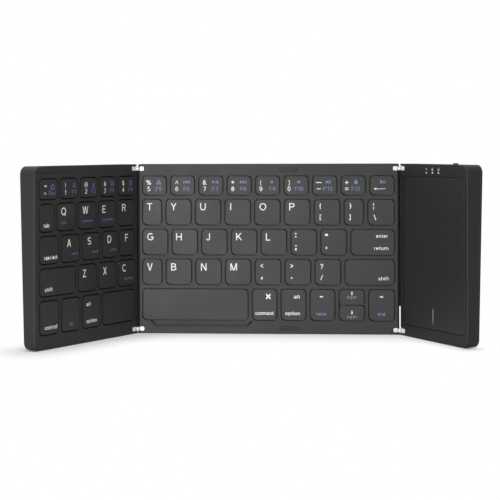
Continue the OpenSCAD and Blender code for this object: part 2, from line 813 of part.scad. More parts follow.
module charging_port() {
  low = panel_h - port_depth;
  color([0.75, 0.75, 0.77]) in_right() translate([port_u, edge_parts_w, low]) {
    difference() {
      linear_extrude(port_depth) port_section(port_w, port_t);
      translate([0, 0, 0.6])
        linear_extrude(port_depth) port_section(port_w - 2 * port_wall, port_t - 2 * port_wall);
    }
    translate([-port_w / 2 + 1.5, -0.35, 0.5]) cube([port_w - 3, 0.7, port_depth - 1.2]);
  }
}

// Knob through the slot in the rear edge, held from inside by its foot
module power_switch() {
  u0 = knob_end_u - knob_len;
  color([0.1, 0.1, 0.1]) in_right() difference() {
    union() {
      translate([u0, edge_parts_w - knob_t / 2, panel_h - wall - 0.9])
        cube([knob_len, knob_t, wall + 0.9 + knob_proud]);
      translate([u0 - 0.6, edge_parts_w - knob_t / 2 - 0.6, panel_h - wall - 1])
        cube([knob_len + 1.2, knob_t + 1.2, 0.8]);
    }
    translate([u0 + knob_len / 2 - 0.4, edge_parts_w - knob_t, panel_h + knob_proud - 0.5])
      cube([0.8, 2 * knob_t, 1]);
  }
}

module indicator_lenses() {
  color([0.9, 0.92, 0.95]) in_right() for (u = lens_us)
    translate([u, 0, lens_z])
      rotate([-90, 0, 0]) {
        cylinder(r = lens_r, h = plate_t + 0.5);
        translate([0, 0, plate_t]) cylinder(r = lens_r + 0.5, h = 0.5);
      }
}

module closing_pads() {
  color([0.12, 0.12, 0.12]) in_middle() for (z = closing_zs)
    translate([closing_u, 0, z])
      slab(-closing_proud, 0.8) pill(closing_len, closing_w);
}

module middle_feet() {
  color([0.12, 0.12, 0.12]) in_middle()
    for (u = foot_us, z = [foot_inset, panel_h - foot_inset]) foot_at(u, z);
}

module left_feet() {
  color([0.12, 0.12, 0.12]) in_left()
    for (u = left_foot_us, z = [foot_inset, panel_h - foot_inset]) foot_at(u, z);
}

module right_feet() {
  color([0.12, 0.12, 0.12]) in_right()
    for (u = right_foot_us, z = [foot_inset, panel_h - foot_inset]) foot_at(u, z);
}

module middle_screws() {
  color([0.5, 0.5, 0.52]) in_middle() for (u = screw_us, z = screw_zs)
    screw_at(u, z);
}

module left_screws() {
  color([0.5, 0.5, 0.52]) in_left() for (u = wing_screw_us, z = screw_zs)
    screw_at(u, z);
}

module right_screws() {
  color([0.5, 0.5, 0.52]) in_right() for (u = pad_screw_us, z = screw_zs)
    screw_at(u, z);
}

module left_ribbon() {
  color([0.06, 0.06, 0.07]) in_middle() ribbon_strip(left_fold, ribbon_inset);
}

module right_ribbon() {
  color([0.06, 0.06, 0.07]) in_middle()
    translate([fold_span, 0, 0]) mirror([1, 0, 0]) ribbon_strip(right_fold, ribbon_low);
}

module left_keys(names) {
  color([0.3, 0.3, 0.31]) in_left() keys_of(LEFT_ROWS, left_field, names);
}

module middle_keys(names) {
  color([0.33, 0.33, 0.34]) in_middle() keys_of(MIDDLE_ROWS, middle_field, names);
}

middle_shell();
middle_cover();
left_shell();
left_cover();
right_shell();
right_cover();
touch_plate();
middle_hinge_leaves();
left_hinge_leaves();
right_hinge_leaves();
hinge_pins();
middle_switch_sheet();
left_switch_sheet();
main_board();
battery();
charging_port();
power_switch();
indicator_lenses();
closing_pads();
middle_feet();
left_feet();
right_feet();
middle_screws();
left_screws();
right_screws();
left_ribbon();
right_ribbon();
for (group = LEFT_GROUPS)
  left_keys(group[1]);
for (group = MIDDLE_GROUPS)
  middle_keys(group[1]);
for (letter = LEFT_LETTERS)
  left_keys([letter]);
for (letter = MIDDLE_LETTERS)
  middle_keys([letter]);
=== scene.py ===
import json
import math

import bpy
from mathutils import Matrix, Vector
from mathutils.geometry import delaunay_2d_cdt


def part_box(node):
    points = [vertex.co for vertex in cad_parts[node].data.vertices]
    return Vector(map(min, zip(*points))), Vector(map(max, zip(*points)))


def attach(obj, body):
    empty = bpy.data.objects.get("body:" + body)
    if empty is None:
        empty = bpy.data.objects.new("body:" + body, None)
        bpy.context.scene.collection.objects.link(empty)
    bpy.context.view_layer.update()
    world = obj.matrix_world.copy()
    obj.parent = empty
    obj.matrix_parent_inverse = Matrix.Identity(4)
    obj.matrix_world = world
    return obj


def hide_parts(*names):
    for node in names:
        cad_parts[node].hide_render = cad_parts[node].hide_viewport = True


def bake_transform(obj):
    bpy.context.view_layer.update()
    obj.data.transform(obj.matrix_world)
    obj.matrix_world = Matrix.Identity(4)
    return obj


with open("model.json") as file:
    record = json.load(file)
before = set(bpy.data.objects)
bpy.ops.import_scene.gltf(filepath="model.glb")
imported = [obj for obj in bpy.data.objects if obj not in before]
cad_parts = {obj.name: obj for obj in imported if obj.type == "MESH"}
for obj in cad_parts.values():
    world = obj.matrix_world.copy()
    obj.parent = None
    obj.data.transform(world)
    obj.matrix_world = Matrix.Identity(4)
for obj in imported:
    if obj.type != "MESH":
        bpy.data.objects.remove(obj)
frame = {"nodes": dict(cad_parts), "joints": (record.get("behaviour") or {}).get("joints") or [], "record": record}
nodes = frame["nodes"]
joints = {joint["name"]: joint for joint in frame["joints"]}
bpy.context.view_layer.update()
mm = 0.001
print("frame loaded")


class Graph:
    # The shader nodes of a material or a world
    def __init__(self, owner):
        owner.use_nodes = True
        self.owner, self.tree = owner, owner.node_tree

    def node(self, kind, settings=None, sockets=(), output=0):
        # Socket values or wires are listed from the first socket on, or given by name or number
        made = self.tree.nodes.new("ShaderNode" + kind)
        for name, value in (settings or {}).items():
            setattr(made, name, value)
        for name, value in sockets.items() if isinstance(sockets, dict) else enumerate(sockets):
            self.put(made.inputs[name], value)
        return Wire(self, made.outputs[output]) if made.outputs else None

    def put(self, socket, value):
        if isinstance(value, Wire):
            self.tree.links.new(value.socket, socket)
        else:
            socket.default_value = value

    def set(self, name, value):
        self.put(self.tree.nodes["Principled BSDF"].inputs[name], value)

    def place(self):
        return self.node("TexCoord", output="Object")

    def noise(self, place, scale, detail=3.0):
        return self.node("TexNoise", {}, {"Vector": place, "Scale": scale, "Detail": detail})

    def bump(self, height, strength, distance):
        self.set("Normal", self.node("Bump", {}, {"Strength": strength, "Distance": distance,
                                                  "Height": height}))


class Wire:
    # A socket that takes part in sums and products
    def __init__(self, graph, socket):
        self.graph, self.socket = graph, socket

    def maths(self, operation, a, b):
        return self.graph.node("Math", {"operation": operation}, [a, b])

    def __add__(self, other):
        return self.maths("ADD", self, other)

    def __radd__(self, other):
        return self.maths("ADD", other, self)

    def __mul__(self, other):
        return self.maths("MULTIPLY", self, other)

    def __rmul__(self, other):
        return self.maths("MULTIPLY", other, self)

    def between(self, dark, light):
        # A colour mix has its factor in socket 0, its colours in 6 and 7 and the result in output 2
        return self.graph.node("Mix", {"data_type": "RGBA"},
                               {0: self, 6: (*dark, 1), 7: (*light, 1)}, output=2)


def shade(color, factor):
    return tuple(min(1.0, c * factor) for c in color)


# What the looks of all moulded pieces share, then the looks themselves
moulding = {"mottleScale": 55.0, "roughnessSpread": 0.16, "shine": 0.2, "grainDepth": 0.3}
frameLook = {"color": (0.0205, 0.0205, 0.0212), "roughness": 0.5, "contrast": 0.15, "bump": 0.12,
             "grainScale": 1600.0}
coverLook = {"color": (0.02, 0.02, 0.0206), "roughness": 0.5, "contrast": 0.15, "bump": 0.16,
             "grainScale": 1600.0}
keyLook = {"color": (0.0235, 0.0235, 0.0242), "roughness": 0.48, "contrast": 0.105, "bump": 0.05,
           "grainScale": 2600.0}
touchLook = {"color": (0.0175, 0.0175, 0.018), "roughness": 0.45, "contrast": 0.06, "bump": 0.02,
             "grainScale": 3000.0}
padLook = {"color": (0.013, 0.013, 0.0134), "roughness": 0.5, "contrast": 0.15, "bump": 0.1,
           "grainScale": 1600.0}
# A darker copy of the frame's look for the right shell: painted shade on the right wing
rightShellPaintedShadeLook = {**frameLook, "color": (0.014, 0.014, 0.0145)}


def plastic(name, look):
    # Moulded plastic with a soft mottle and a fine grain
    graph = Graph(bpy.data.materials.new(name))
    place = graph.place()
    mottle = graph.noise(place, moulding["mottleScale"])
    grain = graph.noise(place, look["grainScale"], 2.0)
    mixed = mottle * 0.5 + grain * 0.5
    graph.set("Base Color", mixed.between(shade(look["color"], 1 - look["contrast"]),
                                          shade(look["color"], 1 + look["contrast"])))
    lowest = look["roughness"] - moulding["roughnessSpread"] / 2
    graph.set("Roughness", lowest + mottle * moulding["roughnessSpread"])
    graph.set("Specular IOR Level", moulding["shine"])
    graph.bump(grain, look["bump"], moulding["grainDepth"] * mm)
    return graph.owner


metalLook = {"color": (0.52, 0.52, 0.53), "roughness": 0.5, "brushing": 0.12, "metallic": 0.35}
# A lighter copy of the hinge metal for the wing leaves: painted light
wingMetalPaintedLightLook = {**metalLook, "color": (0.76, 0.76, 0.77)}
screwLook = {"color": (0.3, 0.3, 0.31), "roughness": 0.35, "brushing": 0.1, "metallic": 1.0}
brushing = {"linesPerMetre": (60, 60, 2600), "lineContrast": 0.07}


def brushedMetal(name, look):
    # Satin metal with fine lines that run across the pieces
    graph = Graph(bpy.data.materials.new(name))
    stretched = graph.node("Mapping", {}, {"Vector": graph.place(),
                                           "Scale": brushing["linesPerMetre"]})
    lines = graph.noise(stretched, 1.0, 2.0)
    graph.set("Base Color", lines.between(shade(look["color"], 1 - brushing["lineContrast"]),
                                          look["color"]))
    graph.set("Metallic", look["metallic"])
    lowest = look["roughness"] - look["brushing"] / 2
    graph.set("Roughness", lowest + lines * look["brushing"])
    return graph.owner


def plain(name, color, roughness, metallic=0.0, spread=0.06, scale=400.0):
    # An even finish whose colour varies by the spread
    graph = Graph(bpy.data.materials.new(name))
    mottle = graph.noise(graph.place(), scale)
    graph.set("Base Color", mottle.between(shade(color, 1 - spread), shade(color, 1 + spread)))
    graph.set("Roughness", roughness)
    graph.set("Metallic", metallic)
    return graph.owner


# By the record's material slots first, then the finishes that only the scene has
materials = {
    "frame_plastic": plastic("framePlastic", frameLook),
    "cover_plastic": plastic("coverPlastic", coverLook),
    "key_plastic": plastic("keyPlastic", keyLook),
    "touch_surface": plastic("touchSurface", touchLook),
    "hinge_metal": brushedMetal("hingeMetal", metalLook),
    "screw_steel": brushedMetal("screwSteel", screwLook),
    "silicone": plain("silicone", (0.03, 0.03, 0.031), 0.6),
    "rubber": plain("rubber", (0.022, 0.022, 0.022), 0.8),
    "circuit_board": plain("circuitBoard", (0.02, 0.1, 0.05), 0.4),
    "battery_pouch": plain("batteryPouch", (0.6, 0.61, 0.63), 0.35, 1.0),
    "port_metal": plain("portMetal", (0.62, 0.62, 0.64), 0.25, 1.0),
    "knob_plastic": plain("knobPlastic", (0.03, 0.03, 0.032), 0.5),
    "lens_plastic": plain("lensPlastic", (0.62, 0.64, 0.66), 0.2),
    "cable_film": plain("cableFilm", (0.008, 0.008, 0.0085), 0.7),
    "pad_plastic": plastic("padPlastic", padLook),
    "right_plastic_painted_shade": plastic("rightPlasticPaintedShade", rightShellPaintedShadeLook),
    "wing_metal_painted_light": brushedMetal("wingMetalPaintedLight", wingMetalPaintedLightLook),
    "gap_shade": plain("gapShade", (0.006, 0.006, 0.0062), 0.7),
}

# Pieces whose finish is not their slot's; the right shell's darker copy of the frame plastic is painted shade
repainted = {
    "closing_pads": "pad_plastic",
    "right_shell": "right_plastic_painted_shade",
    # The wing leaves' lighter copy of the hinge metal is painted light
    "left_hinge_leaves": "wing_metal_painted_light",
    "right_hinge_leaves": "wing_metal_painted_light",
}
for part in frame["record"]["subparts"]:
    finish = repainted.get(part["node"], part["material_slot"])
    slots = nodes[part["node"]].data.materials
    slots.clear()
    slots.append(materials[finish])
print("materials made")


def foldOf(side):
    # Where the axis of a wing's fold stands, in millimetres, and how far the wing is folded at rest
    joint = joints[side + "_fold"]
    x, y, z = joint["pos_m"]
    return Vector((x, y, 0)) / mm, -joint["range_deg"][0]


folds = {side: foldOf(side) for side in ("left", "right")}


def faceOf(side):
    # A panel's key face: x to the viewer's right, y up, z out of the face, zero at the fold axis
    axis, fold = folds["right" if side == "right" else "left"]
    angle = {"middle": 0, "left": fold, "right": -fold}[side]
    turn = Matrix.Rotation(math.radians(angle), 4, "Z")
    lifted = Matrix.Translation((0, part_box("middle_shell")[0].y / mm - axis.y, 0))
    upright = Matrix(((1, 0, 0, 0), (0, 0, -1, 0), (0, 1, 0, 0), (0, 0, 0, 1)))
    return Matrix.Scale(mm, 4) @ Matrix.Translation(axis) @ turn @ lifted @ upright


faces = {side: faceOf(side) for side in ("middle", "left", "right")}


def spreadOf(name, side):
    # From where to where a node reaches along a panel's face, up it and out of it
    toFace = faces[side].inverted()
    places = [toFace @ vertex.co for vertex in nodes[name].data.vertices]
    return [(min(values), max(values)) for values in zip(*places)]


# Sizes in millimetres. A wing's length starts at its fold axis, and the middle panel's runs from
# one axis to the other.
panel = {
    "height": spreadOf("middle_shell", "middle")[1][1],
    "seamGap": spreadOf("middle_shell", "middle")[0][0],
    "frontThickness": -2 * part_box("middle_shell")[0].y / mm,
    "rearThickness": -spreadOf("middle_cover", "middle")[2][0],
    "keyProud": spreadOf("key_t", "middle")[2][1],
    "touchFace": spreadOf("touch_plate", "right")[2][1],
    "lengths": {"middle": folds["right"][0].x - folds["left"][0].x,
                "left": -spreadOf("left_shell", "left")[0][0],
                "right": spreadOf("right_shell", "right")[0][1]},
}

# The frame round and between the keys; a seam border starts at a fold axis
keyField = {"seamBorder": 3.15, "outerBorder": 4.3, "gap": 3.15, "arrowGap": 0.8}

# One node of each key row, front row first
rowNodes = ("space_key_middle", "key_v", "key_g", "key_t", "number_keys_middle")

# Keys from the fold axis outwards, front row first: name and width as a share of a letter key
keyRows = {
    "left": [
        [("spaceLeft", 1.95), ("optionLeft", 1), ("fn", 1), ("control", 1)],
        [("c", 0.965), ("x", 1), ("z", 1), ("shiftLeft", 1.98)],
        [("f", 0.865), ("d", 0.865), ("s", 1), ("a", 1), ("caps", 1)],
        [("r", 0.965), ("e", 1), ("w", 1), ("q", 1), ("tab", 0.765)],
        [("4", 1), ("3", 1), ("2", 1), ("1", 1), ("escape", 1)],
    ],
    "middle": [
        [("spaceMiddle", 4.3), ("command", 0.96), ("optionRight", 0.96), ("left", 0.96),
         ("upDown", 0.98), ("right", 1)],
        [("v", 0.75), ("b", 1), ("n", 1), ("m", 1), ("comma", 1), ("period", 1), ("slash", 1),
         ("shiftRight", 1.96)],
        [("g", 1), ("h", 1), ("j", 1), ("k", 1), ("l", 1), ("semicolon", 1), ("quote", 1),
         ("enter", 1.72)],
        [("t", 0.75), ("y", 1), ("u", 1), ("i", 1), ("o", 1), ("p", 1), ("bracketOpen", 1),
         ("bracketClose", 0.74), ("backslash", 1.03)],
        [("5", 1), ("6", 1), ("7", 1), ("8", 1), ("9", 1), ("0", 1), ("minus", 1), ("equals", 1),
         ("delete", 1)],
    ],
}

# Keys that share a body, and both space bars; every other key has a body of its own
keyBodies = {
    "space_key_left": ["spaceLeft"],
    "space_key_middle": ["spaceMiddle"],
    "number_keys_left": ["escape", "1", "2", "3", "4"],
    "number_keys_middle": ["5", "6", "7", "8", "9", "0", "minus", "equals", "delete"],
    "modifier_keys_left": ["tab", "caps", "shiftLeft", "control", "fn", "optionLeft"],
    "symbol_keys": ["bracketOpen", "bracketClose", "backslash", "semicolon", "quote", "comma",
                    "period", "slash"],
    "command_keys": ["enter", "shiftRight", "command", "optionRight", "left", "up", "down",
                     "right"],
}


def layKeys():
    # The panel, the body and the box on the panel's face of each key
    found = {}
    gap, seam = keyField["gap"], keyField["seamBorder"]
    heights = [spreadOf(name, "middle")[1] for name in rowNodes]
    for side, rows in keyRows.items():
        farBorder = keyField["outerBorder"] if side == "left" else seam
        field = panel["lengths"][side] - seam - farBorder
        for row, (bottom, top) in zip(rows, heights):
            share = (field - (len(row) - 1) * gap) / sum(width for name, width in row)
            u = seam
            for name, width in row:
                ends = (u, u + width * share)
                low, high = ends if side == "middle" else (-ends[1], -ends[0])
                found[name] = {"side": side, "box": (low, bottom, high, top)}
                u = ends[1] + gap
    low, bottom, high, top = found.pop("upDown")["box"]
    half = (top - bottom - keyField["arrowGap"]) / 2
    found["down"] = {"side": "middle", "box": (low, bottom, high, bottom + half)}
    found["up"] = {"side": "middle", "box": (low, top - half, high, top)}
    shared = {name: body for body, names in keyBodies.items() for name in names}
    for name, key in found.items():
        key["body"] = shared.get(name, "key_" + name)
    return found


keys = layKeys()
print("keys laid out")


strokeRule = {"degreesPerPoint": 18, "sharpestMitre": 0.4, "near": 1e-6}


def arc(x, z, width, height, start, end):
    # Points round an ellipse, anticlockwise from the right, angles in degrees
    steps = max(2, round(abs(end - start) / strokeRule["degreesPerPoint"]))
    angles = [math.radians(start + (end - start) * i / steps) for i in range(steps + 1)]
    return [(x + width * math.cos(a), z + height * math.sin(a)) for a in angles]


def ring(x, z, width, height):
    return arc(x, z, width, height, 0, 360)


def stroke(line, weight):
    # A pen stroke as quads, mitred at its corners and cut level or upright at its ends
    points = [Vector(p) for p in line]
    closed = (points[0] - points[-1]).length < strokeRule["near"]
    ways = [(b - a).normalized() for a, b in zip(points, points[1:])]
    sides = []
    for i in range(len(points)):
        before = ways[i - 1] if i or closed else None
        after = ways[i] if i < len(ways) else ways[0] if closed else None
        if before is None or after is None:
            way = after or before
            if abs(way.y) > abs(way.x):
                sides.append(Vector((-weight / 2 / way.y, 0)))
            else:
                sides.append(Vector((0, weight / 2 / way.x)))
        else:
            middle = (before + after).normalized()
            across = Vector((-middle.y, middle.x))
            lean = max(strokeRule["sharpestMitre"], across.dot(Vector((-before.y, before.x))))
            sides.append(across * weight / 2 / lean)
    return [[a + s, a - s, b - t, b + t]
            for a, b, s, t in zip(points, points[1:], sides, sides[1:])]


# Pen strokes of each character, capitals 10 high on a baseline at 0
penStrokes = {
    "A": [[(0.6, 0), (3.6, 10)], [(7, 0), (4, 10)], [(1.6, 3.3), (6, 3.3)]],
    "B": [[(0.7, 0), (0.7, 10)], [(0.7, 9.3), *arc(4, 7.3, 2.2, 2, 90, -90), (0.7, 5.3)],
          [(0.7, 5.3), *arc(4.2, 3, 2.5, 2.3, 90, -90), (0.7, 0.7)]],
    "C": [arc(4.5, 5, 3.8, 4.35, 48, 312)],
    "D": [[(0.7, 0), (0.7, 10)], [(0.7, 9.3), *arc(3.2, 5, 3.8, 4.3, 90, -90), (0.7, 0.7)]],
    "E": [[(6.4, 9.3), (0.7, 9.3), (0.7, 0.7), (6.6, 0.7)], [(0.7, 5.1), (6, 5.1)]],
    "F": [[(6.2, 9.3), (0.7, 9.3), (0.7, 0)], [(0.7, 5), (5.5, 5)]],
    "G": [[*arc(4.6, 5, 3.9, 4.35, 48, 305), (8, 1.9), (8, 4.6), (4.9, 4.6)]],
    "H": [[(0.7, 0), (0.7, 10)], [(7.1, 0), (7.1, 10)], [(0.7, 5.1), (7.1, 5.1)]],
    "I": [[(0.7, 0), (0.7, 10)]],
    "J": [[(4.7, 10), *arc(2.7, 2.9, 2, 2.3, 0, -170)]],
    "K": [[(0.7, 0), (0.7, 10)], [(7, 10), (0.7, 3.6)], [(2.9, 5.6), (7.4, 0)]],
    "L": [[(0.7, 10), (0.7, 0.7), (6, 0.7)]],
    "M": [[(0.7, 0), (0.7, 10)], [(8.5, 0), (8.5, 10)], [(0.9, 10), (4.4, 0)],
          [(8.3, 10), (4.8, 0)]],
    "N": [[(0.7, 0), (0.7, 10)], [(7.1, 0), (7.1, 10)], [(0.9, 10), (6.9, 0)]],
    "O": [ring(4.7, 5, 4, 4.35)],
    "P": [[(0.7, 0), (0.7, 10)], [(0.7, 9.3), *arc(4.2, 7, 2.5, 2.3, 90, -90), (0.7, 4.7)]],
    "Q": [ring(4.7, 5, 4, 4.35), [(5.2, 2.8), (8.6, -0.6)]],
    "R": [[(0.7, 0), (0.7, 10)], [(0.7, 9.3), *arc(4.4, 7.1, 2.5, 2.2, 90, -90), (0.7, 4.9)],
          [(4.1, 4.9), (7.4, 0)]],
    "S": [[*arc(3.9, 7.2, 2.7, 2.15, 25, 245), *arc(4, 2.8, 3, 2.15, 65, -155)]],
    "T": [[(0, 9.3), (7.2, 9.3)], [(3.6, 9.3), (3.6, 0)]],
    "U": [[(0.7, 10), *arc(3.9, 3.7, 3.2, 3, 180, 360), (7.1, 10)]],
    "V": [[(0.7, 10), (3.6, 0)], [(6.9, 10), (4, 0)]],
    "W": [[(0.7, 10), (3, 0)], [(5.6, 10), (3.3, 0)], [(5.8, 10), (8.1, 0)],
          [(10.7, 10), (8.4, 0)]],
    "X": [[(0.8, 10), (6.9, 0)], [(6.7, 10), (0.6, 0)]],
    "Y": [[(0.7, 10), (3.7, 4.4), (3.7, 0)], [(6.9, 10), (3.8, 4.4)]],
    "Z": [[(0.6, 9.3), (6.4, 9.3)], [(5.7, 9.6), (0.9, 0.4)], [(0.4, 0.7), (6.7, 0.7)]],
    "a": [[*arc(3.1, 4.9, 2.3, 1.8, 160, 0), (5.4, 0)], ring(3, 2.1, 2.3, 1.5)],
    "b": [[(0.7, 0), (0.7, 10)], ring(3.5, 3.6, 2.7, 3)],
    "c": [arc(3.4, 3.6, 2.7, 3, 48, 312)],
    "d": [[(6.2, 0), (6.2, 10)], ring(3.4, 3.6, 2.7, 3)],
    "e": [[(0.7, 3.7), *arc(3.4, 3.6, 2.7, 3, 5, 315)]],
    "f": [[(1.6, 0), *arc(3.2, 8, 1.6, 1.4, 180, 90)], [(0.2, 6.7), (3.6, 6.7)]],
    "g": [[(6.1, 7.2), *arc(3.4, -0.4, 2.7, 1.9, 0, -160)], ring(3.4, 3.8, 2.7, 2.9)],
    "h": [[(0.7, 0), (0.7, 10)], [*arc(3.1, 4.3, 2.4, 2.3, 180, 0), (5.5, 0)]],
    "i": [[(0.7, 0), (0.7, 7.2)], [(0.7, 8.6), (0.7, 10)]],
    "k": [[(0.7, 0), (0.7, 10)], [(5.1, 7.2), (0.9, 2.9)], [(2.4, 4.5), (5.5, 0)]],
    "l": [[(0.7, 0), (0.7, 10)]],
    "m": [[(0.7, 0), (0.7, 7.2)], [*arc(2.7, 4.6, 2, 2, 180, 0), (4.7, 0)],
          [*arc(6.7, 4.6, 2, 2, 180, 0), (8.7, 0)]],
    "n": [[(0.7, 0), (0.7, 7.2)], [*arc(3.1, 4.3, 2.4, 2.3, 180, 0), (5.5, 0)]],
    "o": [ring(3.4, 3.6, 2.7, 3)],
    "p": [[(0.7, -2.7), (0.7, 7.2)], ring(3.5, 3.6, 2.7, 3)],
    "r": [[(0.7, 0), (0.7, 7.2)], arc(3.1, 4.4, 2.4, 2.2, 180, 80)],
    "s": [[*arc(2.9, 5.2, 2, 1.4, 25, 240), *arc(3, 2, 2.2, 1.4, 60, -155)]],
    "t": [[(1.7, 9.2), *arc(3.1, 2, 1.4, 1.4, 180, 280)], [(0.2, 6.7), (3.5, 6.7)]],
    "u": [[(0.7, 7.2), *arc(3.1, 3, 2.4, 2.4, 180, 360)], [(5.5, 0), (5.5, 7.2)]],
    "w": [[(0.6, 7.2), (2.2, 0)], [(4.2, 7.2), (2.5, 0)], [(4.4, 7.2), (6.1, 0)],
          [(8, 7.2), (6.4, 0)]],
    "y": [[(0.6, 7.2), (3.2, 0)], [(5.8, 7.2), (2.4, -2.7)]],
    "0": [ring(3.4, 5, 2.7, 4.35)],
    "1": [[(3.2, 0), (3.2, 10)], [(0.8, 7.4), (3.2, 9.4)]],
    "2": [[*arc(3.3, 7, 2.6, 2.4, 165, -35), (0.9, 0.9)], [(0.5, 0.7), (6.2, 0.7)]],
    "3": [arc(3.1, 7.2, 2.3, 2.1, 150, -90), arc(3.1, 2.9, 2.7, 2.2, 90, -150)],
    "4": [[(4.7, 0), (4.7, 10)], [(4.4, 9.6), (0.9, 3)], [(0.2, 3), (6.6, 3)]],
    "5": [[(5.9, 9.3), (1.6, 9.3), (1, 5)], arc(3.2, 3.4, 2.8, 2.8, 140, -150)],
    "6": [ring(3.4, 3.3, 2.7, 2.7), [*arc(3.7, 5, 3, 4.35, 50, 180), (0.7, 3.3)]],
    "7": [[(0.4, 9.3), (6.2, 9.3)], [(5.6, 9.3), (2.4, 0)]],
    "8": [ring(3.4, 7.3, 2.2, 2.1), ring(3.4, 2.9, 2.7, 2.3)],
    "9": [ring(3.4, 6.7, 2.7, 2.7), [*arc(3.1, 5, 3, 4.35, 230, 360), (6.1, 6.7)]],
    "!": [[(0.7, 10), (0.7, 3.2)], [(0.7, 1.6), (0.7, 0)]],
    "@": [arc(5, 4.6, 4.5, 5, -55, 275), ring(4.8, 4.6, 1.7, 2.1), [(6.9, 6.9), (6.6, 2.6)]],
    "#": [[(2.9, 10), (1.9, 0)], [(5.9, 10), (4.9, 0)], [(0.2, 6.7), (7, 6.7)],
          [(0, 3.3), (6.8, 3.3)]],
    "$": [[*arc(3.3, 7.1, 2.4, 1.8, 25, 245), *arc(3.4, 2.9, 2.6, 1.8, 65, -155)],
          [(3.4, 11), (3.4, -1)]],
    "%": [ring(2.3, 7.5, 1.5, 1.8), ring(8.1, 2.5, 1.5, 1.8), [(7.6, 10), (2.8, 0)]],
    "^": [[(0.8, 2.2), (3.4, 9.4)], [(6.8, 2.2), (4.2, 9.4)]],
    "&": [ring(3.3, 7.6, 1.9, 1.8), [(2, 6.3), (7.3, 0)],
          [(2.6, 5.6), *arc(3, 2.7, 2.4, 2.1, 120, 320), (6.6, 4.8)]],
    "*": [[(2.8, 8.6), (2.8, 2.6)], [(0, 7.2), (5.6, 4)], [(5.6, 7.2), (0, 4)]],
    "(": [arc(4.4, 4, 3.7, 7, 120, 240)],
    ")": [arc(-2.4, 4, 3.7, 7, 60, -60)],
    "_": [[(0, 5), (13, 5)]],
    "-": [[(0, 5), (9.4, 5)]],
    "+": [[(0, 5), (8, 5)], [(4, 9), (4, 1)]],
    "=": [[(0, 7), (7.6, 7)], [(0, 3.2), (7.6, 3.2)]],
    "{": [[(3.2, 10), (1.9, 9.2), (1.9, 6), (0.6, 5), (1.9, 4), (1.9, 0.8), (3.2, 0)]],
    "}": [[(0.4, 10), (1.7, 9.2), (1.7, 6), (3, 5), (1.7, 4), (1.7, 0.8), (0.4, 0)]],
    "[": [[(2.9, 9.6), (0.8, 9.6), (0.8, 0.4), (2.9, 0.4)]],
    "]": [[(0.2, 9.6), (2.3, 9.6), (2.3, 0.4), (0.2, 0.4)]],
    "|": [[(0.7, 11.4), (0.7, 6.2)], [(0.7, 4), (0.7, -1.2)]],
    "\\": [[(0.6, 10), (4.2, 0)]],
    "/": [[(4.2, 10), (0.6, 0)]],
    ":": [[(0.8, 9), (0.8, 6.6)], [(0.8, 3.2), (0.8, 0.8)]],
    ";": [[(0.8, 9.4), (0.8, 7)], [(0.8, 3.8), (0.8, 1.4)], [(1, 2), (0.3, -0.8)]],
    '"': [[(0.7, 7.4), (0.7, 3.4)], [(3.6, 7.4), (3.6, 3.4)]],
    "'": [[(0.7, 7.4), (0.7, 3.2)]],
    "<": [[(6.4, 8), (0.8, 4.9)], [(6.4, 1.8), (0.8, 5)]],
    ">": [[(0.8, 8), (6.4, 4.9)], [(0.8, 1.8), (6.4, 5)]],
    ",": [[(0.9, 6.8), (0.9, 4.2)], [(1.1, 5), (0.2, 2)]],
    ".": [[(0.9, 6.3), (0.9, 3.6)]],
    "?": [[*arc(3, 7.2, 2.3, 2.1, 170, -50), (3, 4.2), (3, 2.8)], [(3, 1.6), (3, 0)]],
    "~": [[(0.4, 4.4), (2.2, 6), (5.2, 4.4), (7, 6)]],
    "`": [[(0.6, 7), (4.4, 3)]],
    " ": [],
}

# Small pictures in millimetres round their own centre: pen strokes, then filled outlines
smallPictures = {
    "home": ([[(-1.1, -1.1), (1.1, -1.1), (1.1, 0.2), (0, 1.2), (-1.1, 0.2), (-1.1, -1.1)]], []),
    "search": ([ring(-0.3, 0.35, 0.85, 0.85), [(0.3, -0.25), (1.3, -1.3)]], []),
    "select": ([[(-1.2, 0.95), (1.2, 0.95)], [(-0.9, 0), (0.9, 0)], [(-1.2, -0.95), (1.2, -0.95)]],
               []),
    "copy": ([[(-1.1, -0.5), (0.3, -0.5), (0.3, 1.2), (-1.1, 1.2), (-1.1, -0.5)],
              [(0.4, 0.6), (1.1, 0.6), (1.1, -1.2), (-0.4, -1.2), (-0.4, -0.6)]], []),
    "paste": ([[(-0.9, -1.2), (0.9, -1.2), (0.9, 0.9), (-0.9, 0.9), (-0.9, -1.2)]],
              [[(-0.5, 0.6), (0.5, 0.6), (0.5, 1.4), (-0.5, 1.4)]]),
    "cut": ([[(0.6, -0.5), (-0.35, 1.4)], [(-0.6, -0.5), (0.35, 1.4)], ring(-0.85, -0.9, 0.4, 0.4),
             ring(0.85, -0.9, 0.4, 0.4)], []),
    "previous": ([], [[(-1.9, -0.9), (-1.5, -0.9), (-1.5, 0.9), (-1.9, 0.9)],
                      [(-1.4, 0), (0.2, -0.9), (0.2, 0.9)], [(0.3, 0), (1.9, -0.9), (1.9, 0.9)]]),
    "play": ([], [[(-1.7, -0.95), (0, 0), (-1.7, 0.95)], [(0.4, -0.9), (0.9, -0.9), (0.9, 0.9),
                  (0.4, 0.9)], [(1.3, -0.9), (1.8, -0.9), (1.8, 0.9), (1.3, 0.9)]]),
    "speaker": ([], [[(-1.2, -0.45), (-0.6, -0.45), (0.3, -1.1), (0.3, 1.1), (-0.6, 0.45),
                      (-1.2, 0.45)]]),
    "lock": ([arc(0, 0.3, 0.6, 0.9, 0, 180)], [[(-1, -1.2), (1, -1.2), (1, 0.4), (-1, 0.4)]]),
    "arrow": ([[(-0.3, 0), (1.1, 0)]], [[(-1.1, 0), (-0.1, -0.65), (-0.1, 0.65)]]),
    "longArrow": ([[(-2, 0), (3.4, 0)]], [[(-3.4, 0), (-1.9, -0.65), (-1.9, 0.65)]]),
    "cross": ([[(-1.5, -1.5), (1.5, 1.5)], [(-1.5, 1.5), (1.5, -1.5)]], []),
}
white, blue = 0, 1    # the inks by their material slot on a print

